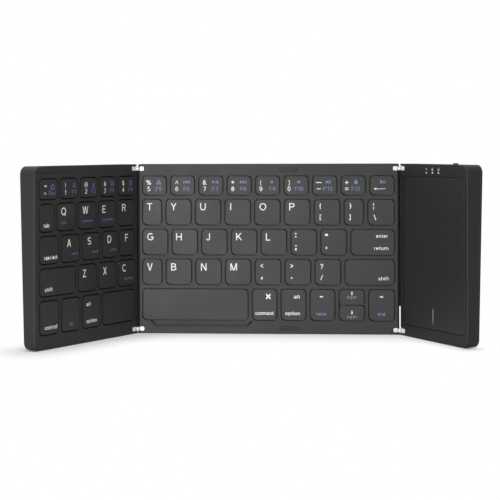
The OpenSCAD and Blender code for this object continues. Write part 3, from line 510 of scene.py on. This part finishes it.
legendLook = {
    "white": (0.66, 0.66, 0.66),
    "blue": (0.085, 0.115, 0.26),
    "letterHeight": 4.2,
    "symbolHeight": 3.0,
    "wordHeight": 2.05,
    "blueWordHeight": 1.476,
    "numberHeight": 2.55,
    "lift": 0.012,
}

# Stroke widths on the 10 high letters, and the space between letters and between words
penLook = {"letter": 1.3, "sign": 1.45, "dot": 2.7, "word": 1.65, "thinWord": 1.4,
           "blueWord": 1.6, "upper": 1.35, "fineUpper": 1.1, "boldUpper": 2.0, "lower": 1.4,
           "boldLower": 1.6, "blueNumber": 1.3, "letterGap": 1.5, "wordGap": 3}


class Print:
    # Flat marks on the faces, gathered into one mesh for each moving body
    def __init__(self):
        self.bodies = {}

    def add(self, key, shapes, slot):
        matrix = faces[keys[key]["side"]]
        out = panel["keyProud"] + legendLook["lift"]
        corners = [Vector(p) for shape in shapes for p in shape]
        loops, first = [], 0
        for shape in shapes:
            loops.append(list(range(first, first + len(shape))))
            first += len(shape)
        flat = delaunay_2d_cdt(corners, [], loops, 1, 1e-5)
        points, polygons, sources = flat[0], flat[2], flat[5]
        inked = [polygon for polygon, source in zip(polygons, sources) if source]
        entry = self.bodies.setdefault(keys[key]["body"],
                                       {"points": [], "polygons": [], "slots": []})
        base = len(entry["points"])
        entry["points"] += [matrix @ Vector((x, z, out)) for x, z in points]
        entry["polygons"] += [[base + i for i in polygon] for polygon in inked]
        entry["slots"] += [slot] * len(inked)

    def build(self, inks):
        for body, entry in self.bodies.items():
            obj = meshPiece("print_" + body, entry["points"], entry["polygons"], inks)
            for polygon, slot in zip(obj.data.polygons, entry["slots"]):
                polygon.material_index = slot
            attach(obj, body)


def meshPiece(name, points, polygons, finishes):
    mesh = bpy.data.meshes.new(name)
    mesh.from_pydata(points, [], polygons)
    for finish in finishes:
        mesh.materials.append(finish)
    obj = bpy.data.objects.new(name, mesh)
    bpy.context.scene.collection.objects.link(obj)
    return obj


prints = Print()


def write(key, text, x, z, height, slot=white, width=None, align="left", weight=penLook["sign"]):
    # Text with its left edge, middle or right edge at x and its baseline at z on the key's face
    shapes, pen = [], 0
    for letter in text:
        quads = [quad for line in penStrokes[letter] for quad in stroke(line, weight)]
        if not quads:
            pen += penLook["wordGap"]
            continue
        low = min(p.x for quad in quads for p in quad)
        high = max(p.x for quad in quads for p in quad)
        shapes += [[Vector((p.x - low + pen, p.y)) for p in quad] for quad in quads]
        pen += high - low + penLook["letterGap"]
    pen -= penLook["letterGap"]
    scale = height / 10
    stretch = width / pen if width else scale
    shift = {"left": 0, "middle": pen / 2, "right": pen}[align]
    prints.add(key, [[(x + (p.x - shift) * stretch, z + p.y * scale) for p in shape]
                     for shape in shapes], slot)


def draw(key, name, x, z, slot=white, weight=0.4, turn=0, scale=1.0, mirror=1):
    # A small picture centred at x, z on the key's face
    lines, fills = smallPictures[name]
    shapes = [quad for line in lines for quad in stroke(line, weight)]
    shapes += [[Vector(p) for p in fill] for fill in fills]
    c, s = math.cos(math.radians(turn)) * scale, math.sin(math.radians(turn)) * scale
    placed = [[(x + mirror * (p.x * c - p.y * s), z + p.x * s + p.y * c) for p in shape]
              for shape in shapes]
    prints.add(key, [shape[::mirror] for shape in placed], slot)


# Distance of each letter from the left and from the top of its key
letterPlaces = {
    "q": (2.55, 1.9), "w": (2.85, 1.9), "e": (2.55, 2.1), "r": (2.65, 1.9), "t": (2.25, 1.95),
    "y": (2.5, 1.95), "u": (2.35, 1.95), "i": (2.6, 1.85), "o": (2.35, 1.95), "p": (2.35, 1.95),
    "a": (3.9, 2.1), "s": (3.7, 1.95), "d": (3.65, 2.0), "f": (3.85, 1.95), "g": (2.3, 2.05),
    "h": (1.95, 2.1), "j": (2.2, 2.1), "k": (2.25, 1.95), "l": (2.35, 2.1), "z": (3.0, 2.4),
    "x": (3.0, 2.4), "c": (2.75, 1.95), "v": (2.25, 2.25), "b": (2.45, 2.25), "n": (2.6, 2.25),
    "m": (2.45, 2.15),
}


def printLetters():
    height = legendLook["letterHeight"]
    for name, (fromLeft, fromTop) in letterPlaces.items():
        low, bottom, high, top = keys[name]["box"]
        write(name, name.upper(), low + fromLeft, top - fromTop - height, height,
              weight=penLook["letter"])


# Both signs of a key with the distance of each from the left and of its middle from the top
pairPlaces = {
    "semicolon": ((":", 2.35, 3.15), (";", 2.4, 10.2)),
    "quote": (('"', 2.85, 3.1), ("'", 2.75, 10.5)),
    "comma": (("<", 3.4, 3.6), (",", 3.4, 10.5)),
    "period": ((">", 3.4, 3.6), (".", 3.35, 10.5)),
    "slash": (("?", 3.4, 3.9), ("/", 3.4, 10.2)),
    "bracketOpen": (("{", 2.85, 3.75), ("[", 3.1, 10.1)),
    "bracketClose": (("}", 3.35, 3.7), ("]", 2.85, 10.1)),
    "backslash": (("|", 2.85, 3.85), ("\\", 3.6, 10.1)),
}


def printPairs():
    height = legendLook["symbolHeight"]
    for name, signs in pairPlaces.items():
        low, bottom, high, top = keys[name]["box"]
        for sign, right, down in signs:
            write(name, sign, low + right, top - down - height / 2, height, align="middle",
                  weight=penLook["dot" if sign in ":;,.'\"" else "sign"])


# What each number key shows in blue above its F number, and how far its white signs, its blue
# signs and its picture are off the usual place: to the right, to the right and down
numberPlaces = {
    "1": ("!", "search", 0.2, 1.4, 0.55), "2": ("@", "select", 0.85, 0.95, 0.9),
    "3": ("#", "copy", 0.4, 0.5, 0.1), "4": ("$", "paste", 0.2, 0.7, 0.2),
    "5": ("%", "cut", 0, -0.3, 0), "6": ("^", "previous", -0.1, -0.5, 0),
    "7": ("&", "play", -0.3, -0.4, 0), "8": ("*", "previous", -0.45, -0.5, 0),
    "9": ("(", "speaker", -0.65, -0.1, 0), "0": (")", "speaker", -0.75, -1.15, 0),
    "minus": ("_", "speaker", -0.1, -1.2, 0), "equals": ("+", "lock", -0.5, -1.35, 0),
}

# The usual places on a number key, from its left and its bottom edge, the heights as shares of
# the number height, and the sound waves
numberLayout = {
    "whiteX": 3.3, "blueX": 9.4, "upperBase": 5.5, "lowerBase": 1.85, "blueBase": 2.0,
    "pictureZ": 7.05, "tall": 1.05, "short": 0.95, "blueShare": 0.88, "blueWidth": 3.5,
    "wideBlueWidth": 5.0, "waveInset": 0.3, "waveSize": 1.1, "waveStep": (0.55, 0.2),
    "waveAngle": 40, "waveWeight": 0.3,
}


def printNumbers():
    layout, height = numberLayout, legendLook["numberHeight"]
    bars, waves = {"minus": "-", "equals": "="}, {"0": 1, "minus": 3}
    for place, (name, entry) in enumerate(numberPlaces.items()):
        upper, picture, whiteRight, blueRight, down = entry
        low, bottom, high, top = keys[name]["box"]
        left, middle = low + layout["whiteX"] + whiteRight, low + layout["blueX"] + blueRight
        centre = bottom + layout["pictureZ"]
        share = layout["tall" if name in "12345780" else "short"]
        pen = "boldUpper" if name in bars else "fineUpper" if upper in "@#" else "upper"
        write(name, upper, left, bottom + layout["upperBase"], height * share, align="middle",
              weight=penLook[pen])
        write(name, bars.get(name, name), left, bottom + layout["lowerBase"], height,
              align="middle", weight=penLook["boldLower" if name in bars else "lower"])
        write(name, f"F{place + 1}", middle, bottom + layout["blueBase"],
              height * layout["blueShare"], blue, align="middle", weight=penLook["blueNumber"],
              width=layout["blueWidth" if place < 9 else "wideBlueWidth"])
        draw(name, picture, middle, centre - down, blue, mirror=-1 if name == "8" else 1)
        for wave in range(waves.get(name, 0)):
            width, rise = (layout["waveSize"] + step * wave for step in layout["waveStep"])
            bow = arc(middle - layout["waveInset"], centre, width, rise, -layout["waveAngle"],
                      layout["waveAngle"])
            prints.add(name, stroke(bow, layout["waveWeight"]), blue)


# The keys at both ends of the number row: text, how far its middle is from the left and its
# base from the bottom, share of the number height, ink, width and weight; then the picture, its
# place, ink, weight and scale
rowEnds = {
    "escape": ([("~", 4.2, 5.4, 1.1, white, None, 1.7), ("`", 3.8, 1.75, 1.0, white, None, 1.9),
                ("Esc", 9.4, 2.1, 0.85, blue, 5.2, 1.3)],
               ("home", 9.7, 6.4, blue, 0.45, 1.1)),
    "delete": ([("Del", 7.0, 6.1, 0.8, blue, 3.1, 1.45)],
               ("longArrow", 5.1, 3.1, white, 0.28, 1.0)),
}


def printRowEnds():
    height = legendLook["numberHeight"]
    for name, (signs, (picture, right, up, ink, weight, scale)) in rowEnds.items():
        low, bottom, high, top = keys[name]["box"]
        for text, textRight, base, share, textInk, width, textWeight in signs:
            write(name, text, low + textRight, bottom + base, height * share, textInk,
                  width=width, align="middle", weight=textWeight)
        draw(name, picture, low + right, bottom + up, ink, weight, scale=scale)


# Words by key: the text, how far it starts from the left or ends from the right, the height of
# its base over the key's bottom edge, and its width
wordPlaces = {
    "left": [("tab", "tab", 2.6, 2.05, 4.4), ("caps", "caps lock", 2.9, 2.1, 10.6),
             ("shiftLeft", "shift", 3.3, 2.3, 6.1), ("control", "control", 3.2, 2.5, 9.7),
             ("optionLeft", "option", 2.5, 2.5, 8.7), ("optionRight", "option", 1.9, 2.65, 8.4),
             ("command", "command", 1.3, 2.7, 10.4)],
    "right": [("enter", "enter", 3.5, 9.5, 6.7), ("enter", "return", 3.2, 2.5, 8.1),
              ("shiftRight", "shift", 3.0, 2.35, 6.0)],
    "blue": [("q", "sys", 2.1, 3.4, 4.3), ("w", "system b", 2.3, 3.4, 8.7),
             ("e", "system c", 2.6, 3.4, 9.6), ("a", "ch1", 7.6, 3.2, 4.9),
             ("s", "ch2", 7.6, 3.2, 5.2), ("d", "ch3", 5.8, 3.2, 5.2),
             ("c", "connect", 4.2, 3.2, 8.8)],
}

# The word at the top of both option keys: from the left, from the top, and its width
altPlaces = {"optionLeft": (2.5, 5.4, 3.6), "optionRight": (6.8, 5.1, 3.6)}

functionPlace = {"right": 7.2, "base": 2.6, "width": 3.0, "weight": 1.75}
crossPlace = {"right": 8.8, "down": 4.0, "weight": 0.95, "scale": 0.85}

# Side arrows: the word, its width, how far both are off the key's middle, and the mirroring
sideArrows = {"left": ("home", 5.8, -0.7, 1), "right": ("end", 4.1, -0.2, -1)}

# Half-height arrows: the word, the arrow's turn, and the heights of the arrow and of the word
halfArrows = {"up": ("pgup", -90, 6.3, 3.4), "down": ("pgdn", 90, 4.3, 1.1)}
arrowLook = {"weight": 0.5, "down": 4.0, "base": 2.5, "halfShare": 0.85, "halfWidth": 5.4}


def printWords():
    height, thin, bold = legendLook["wordHeight"], penLook["thinWord"], penLook["word"]
    for name, text, fromLeft, base, width in wordPlaces["left"]:
        low, bottom, high, top = keys[name]["box"]
        write(name, text, low + fromLeft, bottom + base, height, width=width, weight=bold)
    for name, text, fromRight, base, width in wordPlaces["right"]:
        low, bottom, high, top = keys[name]["box"]
        write(name, text, high - fromRight, bottom + base, height, width=width, align="right",
              weight=thin)
    for name, (fromLeft, fromTop, width) in altPlaces.items():
        low, bottom, high, top = keys[name]["box"]
        write(name, "alt", low + fromLeft, top - fromTop, height, width=width, weight=thin)
    low, bottom, high, top = keys["fn"]["box"]
    write("fn", "fn", low + functionPlace["right"], bottom + functionPlace["base"], height, blue,
          width=functionPlace["width"], align="middle", weight=functionPlace["weight"])
    low, bottom, high, top = keys["command"]["box"]
    draw("command", "cross", low + crossPlace["right"], top - crossPlace["down"],
         weight=crossPlace["weight"], scale=crossPlace["scale"])


def printArrows():
    height, weight = legendLook["wordHeight"], penLook["blueWord"]
    for name, (text, width, right, mirror) in sideArrows.items():
        low, bottom, high, top = keys[name]["box"]
        middle = (low + high) / 2 + right
        draw(name, "arrow", middle, top - arrowLook["down"], weight=arrowLook["weight"],
             mirror=mirror)
        write(name, text, middle, bottom + arrowLook["base"], height, blue, align="middle",
              width=width, weight=weight)
    for name, (text, turn, up, base) in halfArrows.items():
        low, bottom, high, top = keys[name]["box"]
        middle = (low + high) / 2
        draw(name, "arrow", middle, bottom + up, weight=arrowLook["weight"], turn=turn)
        write(name, text, middle, bottom + base, height * arrowLook["halfShare"], blue,
              align="middle", width=arrowLook["halfWidth"], weight=weight)


def printBlueWords():
    height = legendLook["blueWordHeight"]
    for name, text, fromLeft, base, width in wordPlaces["blue"]:
        low, bottom, high, top = keys[name]["box"]
        write(name, text, low + fromLeft, bottom + base, height, blue, width=width,
              weight=penLook["blueWord"])


printLetters()
printPairs()
printNumbers()
printRowEnds()
printWords()
printArrows()
printBlueWords()
prints.build([plain("printWhite", legendLook["white"], 0.5, spread=0.02),
              plain("printBlue", legendLook["blue"], 0.5, spread=0.04)])
print("legends printed")


# The divider on the touch plate and the marks over the lenses, in millimetres on the wing's face
rightMarks = {
    "dividerX": 31.7,
    "dividerWidth": 0.42,
    "dividerEnds": (9.8, 18.2),
    "iconHeight": 95.2,
    "iconPitch": 5.75,
    "iconSize": 1.25,
    "dividerInk": (0.3, 0.3, 0.31),
    "iconInk": (0.4, 0.4, 0.4),
}


def flatPiece(name, body, outlines, out, ink):
    # Flat marks on the right wing's face
    points, polygons = [], []
    for outline in outlines:
        polygons.append([len(points) + i for i in range(len(outline))])
        points += [faces["right"] @ Vector((x, z, out)) for x, z in outline]
    obj = meshPiece(name, points, polygons, [ink])
    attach(obj, body)


def rectangle(x0, z0, x1, z1):
    return [(x0, z0), (x1, z0), (x1, z1), (x0, z1)]


def markTouchPlate():
    ink = plain("printGrey", rightMarks["dividerInk"], 0.5, spread=0.03)
    x, half = rightMarks["dividerX"], rightMarks["dividerWidth"] / 2
    low, high = rightMarks["dividerEnds"]
    flatPiece("touchDivider", "touch_plate", [rectangle(x - half, low, x + half, high)],
              panel["touchFace"] + legendLook["lift"], ink)


def markLenses():
    # A spark, an arrow up on its bar and three rising bars, drawn about 1.5 units high
    ink = plain("printLight", rightMarks["iconInk"], 0.5, spread=0.03)
    pictures = [
        [[(0.1, 0.8), (-0.6, -0.1), (0, -0.1), (-0.1, -0.8), (0.6, 0.1), (0, 0.1)]],
        [rectangle(-0.6, -0.7, 0.6, -0.4), [(-0.65, -0.2), (0.65, -0.2), (0, 0.75)]],
        [rectangle(-0.7 + 0.5 * i, -0.6, -0.4 + 0.5 * i, -0.1 + 0.4 * i) for i in range(3)],
    ]
    z, size = rightMarks["iconHeight"], rightMarks["iconSize"]
    icons = []
    for i, picture in enumerate(pictures):
        x = panel["lengths"]["right"] / 2 + (i - 1) * rightMarks["iconPitch"]
        icons += [[(x + px * size, z + pz * size) for px, pz in outline] for outline in picture]
    flatPiece("lensIcons", "right_wing", icons, legendLook["lift"], ink)


markTouchPlate()
markLenses()
print("right wing marked")


cableShape = {"radius": 3.9, "thickness": 0.25, "tail": 2.6, "steps": 36}


def addCable(name, side, node):
    # A thin film that leaves the middle panel, bends round the fold axis and enters the wing
    axis, fold = folds[side]
    way = -1 if side == "left" else 1
    tail, radius, steps = (cableShape[size] for size in ("tail", "radius", "steps"))
    angle = math.radians(fold)
    low, high = (corner.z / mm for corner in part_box(node))
    points, polygons = [], []
    for i in range(steps + 1):
        run = (2 * tail + angle * radius) * i / steps
        bent = min(max(run - tail, 0), angle * radius) / radius
        past = min(run, tail) - tail + max(run - tail - angle * radius, 0)
        for skin in (-1, 1):
            r = radius + skin * cableShape["thickness"] / 2
            x = -r * math.sin(bent) - past * math.cos(bent)
            y = r * math.cos(bent) - past * math.sin(bent)
            points += [(axis + Vector((-way * x, y, z))) * mm for z in (low, high)]
        if i:
            a, b = 4 * (i - 1), 4 * i
            for p, q in ((0, 1), (1, 3), (3, 2), (2, 0)):
                polygons.append([a + p, a + q, b + q, b + p])
    last = 4 * steps
    polygons += [[0, 1, 3, 2], [last, last + 2, last + 3, last + 1]]
    obj = meshPiece(name, points, polygons, [materials["cable_film"]])
    start = (axis + Vector((0, radius, 0))) * mm
    end = (axis + Vector((way * radius * math.sin(angle), radius * math.cos(angle), 0))) * mm
    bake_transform(obj)
    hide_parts(node)


addCable("leftCable", "left", "left_ribbon")
addCable("rightCable", "right", "right_ribbon")
print("cables added")


# How far the edges of the CAD pieces are rounded, in millimetres
softening = {
    "keys": 0.38,
    "shellRim": 0.8,
    "coverRim": 0.9,
    "touchPlate": 0.18,
    "feet": 0.35,
    "closingPads": 0.3,
    "leaves": 0.15,
    "knob": 0.2,
}


# Corners nearer than the weld become one, and surfaces flatter than the first angle one face;
# edges sharper than the second angle are rounded
edgeRule = {"weld": 0.004, "flat": 1.5, "sharp": 40}


def soften(name, width, segments=2, group=None):
    # Rounds the sharp edges of a CAD piece a little, as moulding would
    obj = nodes[name]
    weld = obj.modifiers.new("weld", "WELD")
    weld.merge_threshold = edgeRule["weld"] * mm
    flat = obj.modifiers.new("flat", "DECIMATE")
    flat.decimate_type = "DISSOLVE"
    flat.angle_limit = math.radians(edgeRule["flat"])
    bevel = obj.modifiers.new("bevel", "BEVEL")
    bevel.width = width * mm
    bevel.segments = segments
    bevel.use_clamp_overlap = True
    bevel.harden_normals = True
    if group:
        bevel.limit_method = "VGROUP"
        bevel.vertex_group = group
    else:
        bevel.limit_method = "ANGLE"
        bevel.angle_limit = math.radians(edgeRule["sharp"])
        # On the keys, which have a second slot, the rounded edges take the painted gap shade
        if len(obj.data.materials) > 1:
            bevel.material = 1


# What counts as the rim of a panel: how near its line, how far round its free corners, and how
# far from the seams and the hinges it ends on the key face
rim = {"near": 0.05, "middleCorner": 1.0, "wingCorner": 4.6, "seam": 0.5, "hinge": 5.5}


def outlineGroup(name, side, atFront):
    # The vertices on a panel's outer edge, on its key face or on its back
    obj = nodes[name]
    height, gap, length = panel["height"], panel["seamGap"], panel["lengths"][side]
    front, rear = panel["frontThickness"], panel["rearThickness"]
    farEnd = length - gap if side == "middle" else length
    corner = rim["middleCorner" if side == "middle" else "wingCorner"]
    toFace = faces[side].inverted()
    chosen = []
    for vertex in obj.data.vertices:
        x, z, out = toFace @ vertex.co
        u = -x if side == "left" else x
        depth = 0 if atFront else front + (rear - front) * z / height
        if abs(-out - depth) > rim["near"]:
            continue
        toSeam = min(abs(u), farEnd - u) if side == "middle" else u
        toLong = min(z, height - z)
        byHinge = toSeam < rim["hinge"] and toLong < rim["hinge"]
        if atFront and (toSeam < rim["seam"] or byHinge):
            continue
        edge = min(abs(z), abs(z - height), abs(u - gap), abs(u - farEnd))
        if edge < rim["near"] or (farEnd - u < corner and toLong < corner):
            chosen.append(vertex.index)
    obj.vertex_groups.new(name="rim").add(chosen, 1.0, "REPLACE")
    return len(chosen)


# How deep the holes' walls go, the facings below which a wall or a key's side is upright, what
# still counts as a key's top, and what is left out along a panel's edge
gapRule = {"plate": 1.3, "wallFacing": 0.3, "sideFacing": 0.9, "near": 0.05, "edge": 1.0}


def shadeGaps(name, side, isShell):
    # Darkens what lies in the gaps round the keys: the walls of the holes, or the keys' sides
    mesh = nodes[name].data
    mesh.materials.append(materials["gap_shade"])
    toFace = faces[side].inverted()
    edge, height, length = gapRule["edge"], panel["height"], panel["lengths"][side]
    for polygon in mesh.polygons:
        x, z, out = toFace @ polygon.center
        facing = (toFace.to_3x3() @ polygon.normal).normalized().z
        if isShell:
            inside = edge < abs(x) < length - edge and edge < z < height - edge
            wall = abs(facing) < gapRule["wallFacing"] and -gapRule["plate"] < out < 0
            shaded = inside and wall
        else:
            below = out < panel["keyProud"] - gapRule["near"]
            shaded = below or facing < gapRule["sideFacing"]
        if shaded:
            polygon.material_index = 1


def softenAll():
    for body, side in {key["body"]: key["side"] for key in keys.values()}.items():
        shadeGaps(body, side, False)
        soften(body, softening["keys"], 3)
    for name in nodes:
        if name.endswith("_feet"):
            soften(name, softening["feet"], 3)
        elif name.endswith("_leaves"):
            soften(name, softening["leaves"])
    soften("touch_plate", softening["touchPlate"])
    soften("closing_pads", softening["closingPads"], 3)
    soften("power_switch", softening["knob"])
    for side in keyRows:
        shadeGaps(side + "_shell", side, True)
    for side in faces:
        counts = [outlineGroup(side + "_shell", side, True),
                  outlineGroup(side + "_cover", side, False)]
        soften(side + "_shell", softening["shellRim"], 4, group="rim")
        soften(side + "_cover", softening["coverRim"], 4, group="rim")
        print("rim of", side, counts)


softenAll()
print("edges softened")


camera = {
    "position": (43.43, -796.03, 110.04),
    "yaw": 3.87,
    "roll": -0.17,
    "lens": 99.18,
    "shiftY": -0.2142,
    "sensor": 36.0,
    "sees": 50.0,
}


def addCamera():
    # Level, so that upright edges stay parallel, with the view shifted down instead
    data = bpy.data.cameras.new("camera")
    data.sensor_width = camera["sensor"]
    data.lens = camera["lens"]
    data.clip_end = camera["sees"]
    data.shift_y = camera["shiftY"]
    obj = bpy.data.objects.new("camera", data)
    bpy.context.scene.collection.objects.link(obj)
    turn = (Matrix.Rotation(math.radians(camera["yaw"]), 4, "Z")
            @ Matrix.Rotation(math.radians(90), 4, "X")
            @ Matrix.Rotation(math.radians(camera["roll"]), 4, "Z"))
    obj.matrix_world = Matrix.Translation(Vector(camera["position"]) * mm) @ turn
    bpy.context.scene.camera = obj


# Positions, sizes and the painted shadow's reach from each panel are in millimetres
lighting = {
    "worldLevel": 0.05,
    "target": (0, -20, 50),
    "lamps": {
        "overheadLight": {"power": 9.0, "position": (-80, -180, 950), "size": 760},
        "frontLight": {"power": 5.9, "position": (-150, -720, 20), "size": 160},
    },
    "floorColor": (0.96, 0.96, 0.96),
    # The floor's colour where it is seen directly is darker than the one it passes on: painted shade near the
    # panels
    "paintedContactShade": (0.85, 0.85, 0.85),
    "paintedShadowReach": {"middle": 44, "left": 32, "right": 12},
    "floorHalf": 6000,
    "floorDrop": 0.05,
}


def addLamp(name, lamp):
    data = bpy.data.lights.new(name, "AREA")
    data.shape = "DISK"
    data.size = lamp["size"] * mm
    data.energy = lamp["power"]
    obj = bpy.data.objects.new(name, data)
    bpy.context.scene.collection.objects.link(obj)
    at = Vector(lamp["position"]) * mm
    aim = Vector(lighting["target"]) * mm - at
    obj.matrix_world = Matrix.Translation(at) @ aim.to_track_quat("-Z", "Y").to_matrix().to_4x4()


def seenDirectly(graph):
    # 1 where the camera, a reflection or a clear piece looks, 0 for light that is passed on
    seen = graph.node("LightPath", output="Is Camera Ray")
    for ray in ("Is Glossy Ray", "Is Transmission Ray"):
        seen = seen.maths("MAXIMUM", seen, graph.node("LightPath", output=ray))
    return seen


def paintedShadowFade(graph):
    # 0 on the line where a panel stands and 1 beyond the reach of its painted shadow, where the floor glows plain
    # white
    point, clear = graph.place(), 1.0
    for side, reach in lighting["paintedShadowReach"].items():
        end = panel["lengths"][side] * (-1 if side == "left" else 1)
        start, finish = (faces[side] @ Vector((u, 0, 0)) for u in (0, end))
        way = finish - start
        offset = graph.node("VectorMath", {"operation": "SUBTRACT"}, [point, start])
        along = graph.node("VectorMath", {"operation": "DOT_PRODUCT"},
                           [offset, way / way.length_squared], output=1)
        along = graph.node("Clamp", {}, [along])
        nearest = graph.node("VectorMath", {"operation": "SCALE"}, {0: way, "Scale": along})
        distance = graph.node("VectorMath", {"operation": "DISTANCE"}, [offset, nearest],
                              output=1)
        fade = graph.node("MapRange", {"interpolation_type": "SMOOTHSTEP"},
                          [distance, 0.0, reach * mm, 0.0, 1.0])
        clear = fade * clear
    return clear


def floorMaterial():
    # Takes the real shadow near the keyboard, deepened by a darker colour where it is seen directly, which is
    # painted shade, and turns to the plain white of the backdrop further out, which paints light over the shadow
    # beyond each panel's reach
    graph = Graph(bpy.data.materials.new("floorPaint"))
    seen = seenDirectly(graph)
    graph.set("Base Color", seen.between(lighting["floorColor"], lighting["paintedContactShade"]))
    graph.set("Roughness", 0.9)
    graph.set("Specular IOR Level", 0.1)
    lit = Wire(graph, graph.tree.nodes["Principled BSDF"].outputs[0])
    glow = graph.node("Emission")
    mixed = graph.node("MixShader", {}, [seen * paintedShadowFade(graph), lit, glow])
    graph.put(graph.tree.nodes["Material Output"].inputs["Surface"], mixed)
    return graph.owner


def addFloor():
    half = lighting["floorHalf"] * mm
    corners = [(-half, -half, 0), (half, -half, 0), (half, half, 0), (-half, half, 0)]
    floor = meshPiece("floor", corners, [(0, 1, 2, 3)], [floorMaterial()])
    floor.location.z = -lighting["floorDrop"] * mm


def addWorld():
    # White where it is seen directly, and only a low even light on the object
    world = bpy.data.worlds.new("studio")
    bpy.context.scene.world = world
    graph = Graph(world)
    graph.tree.nodes.clear()
    lit, shown = (graph.node("Background", {}, {"Color": (1, 1, 1, 1), "Strength": strength})
                  for strength in (lighting["worldLevel"], 1.0))
    mixed = graph.node("MixShader", {}, [seenDirectly(graph), lit, shown])
    graph.node("OutputWorld", {}, {"Surface": mixed})


addCamera()
addFloor()
addWorld()
for name, lamp in lighting["lamps"].items():
    addLamp(name, lamp)
bpy.context.scene.view_settings.view_transform = "Standard"
print("stage set")
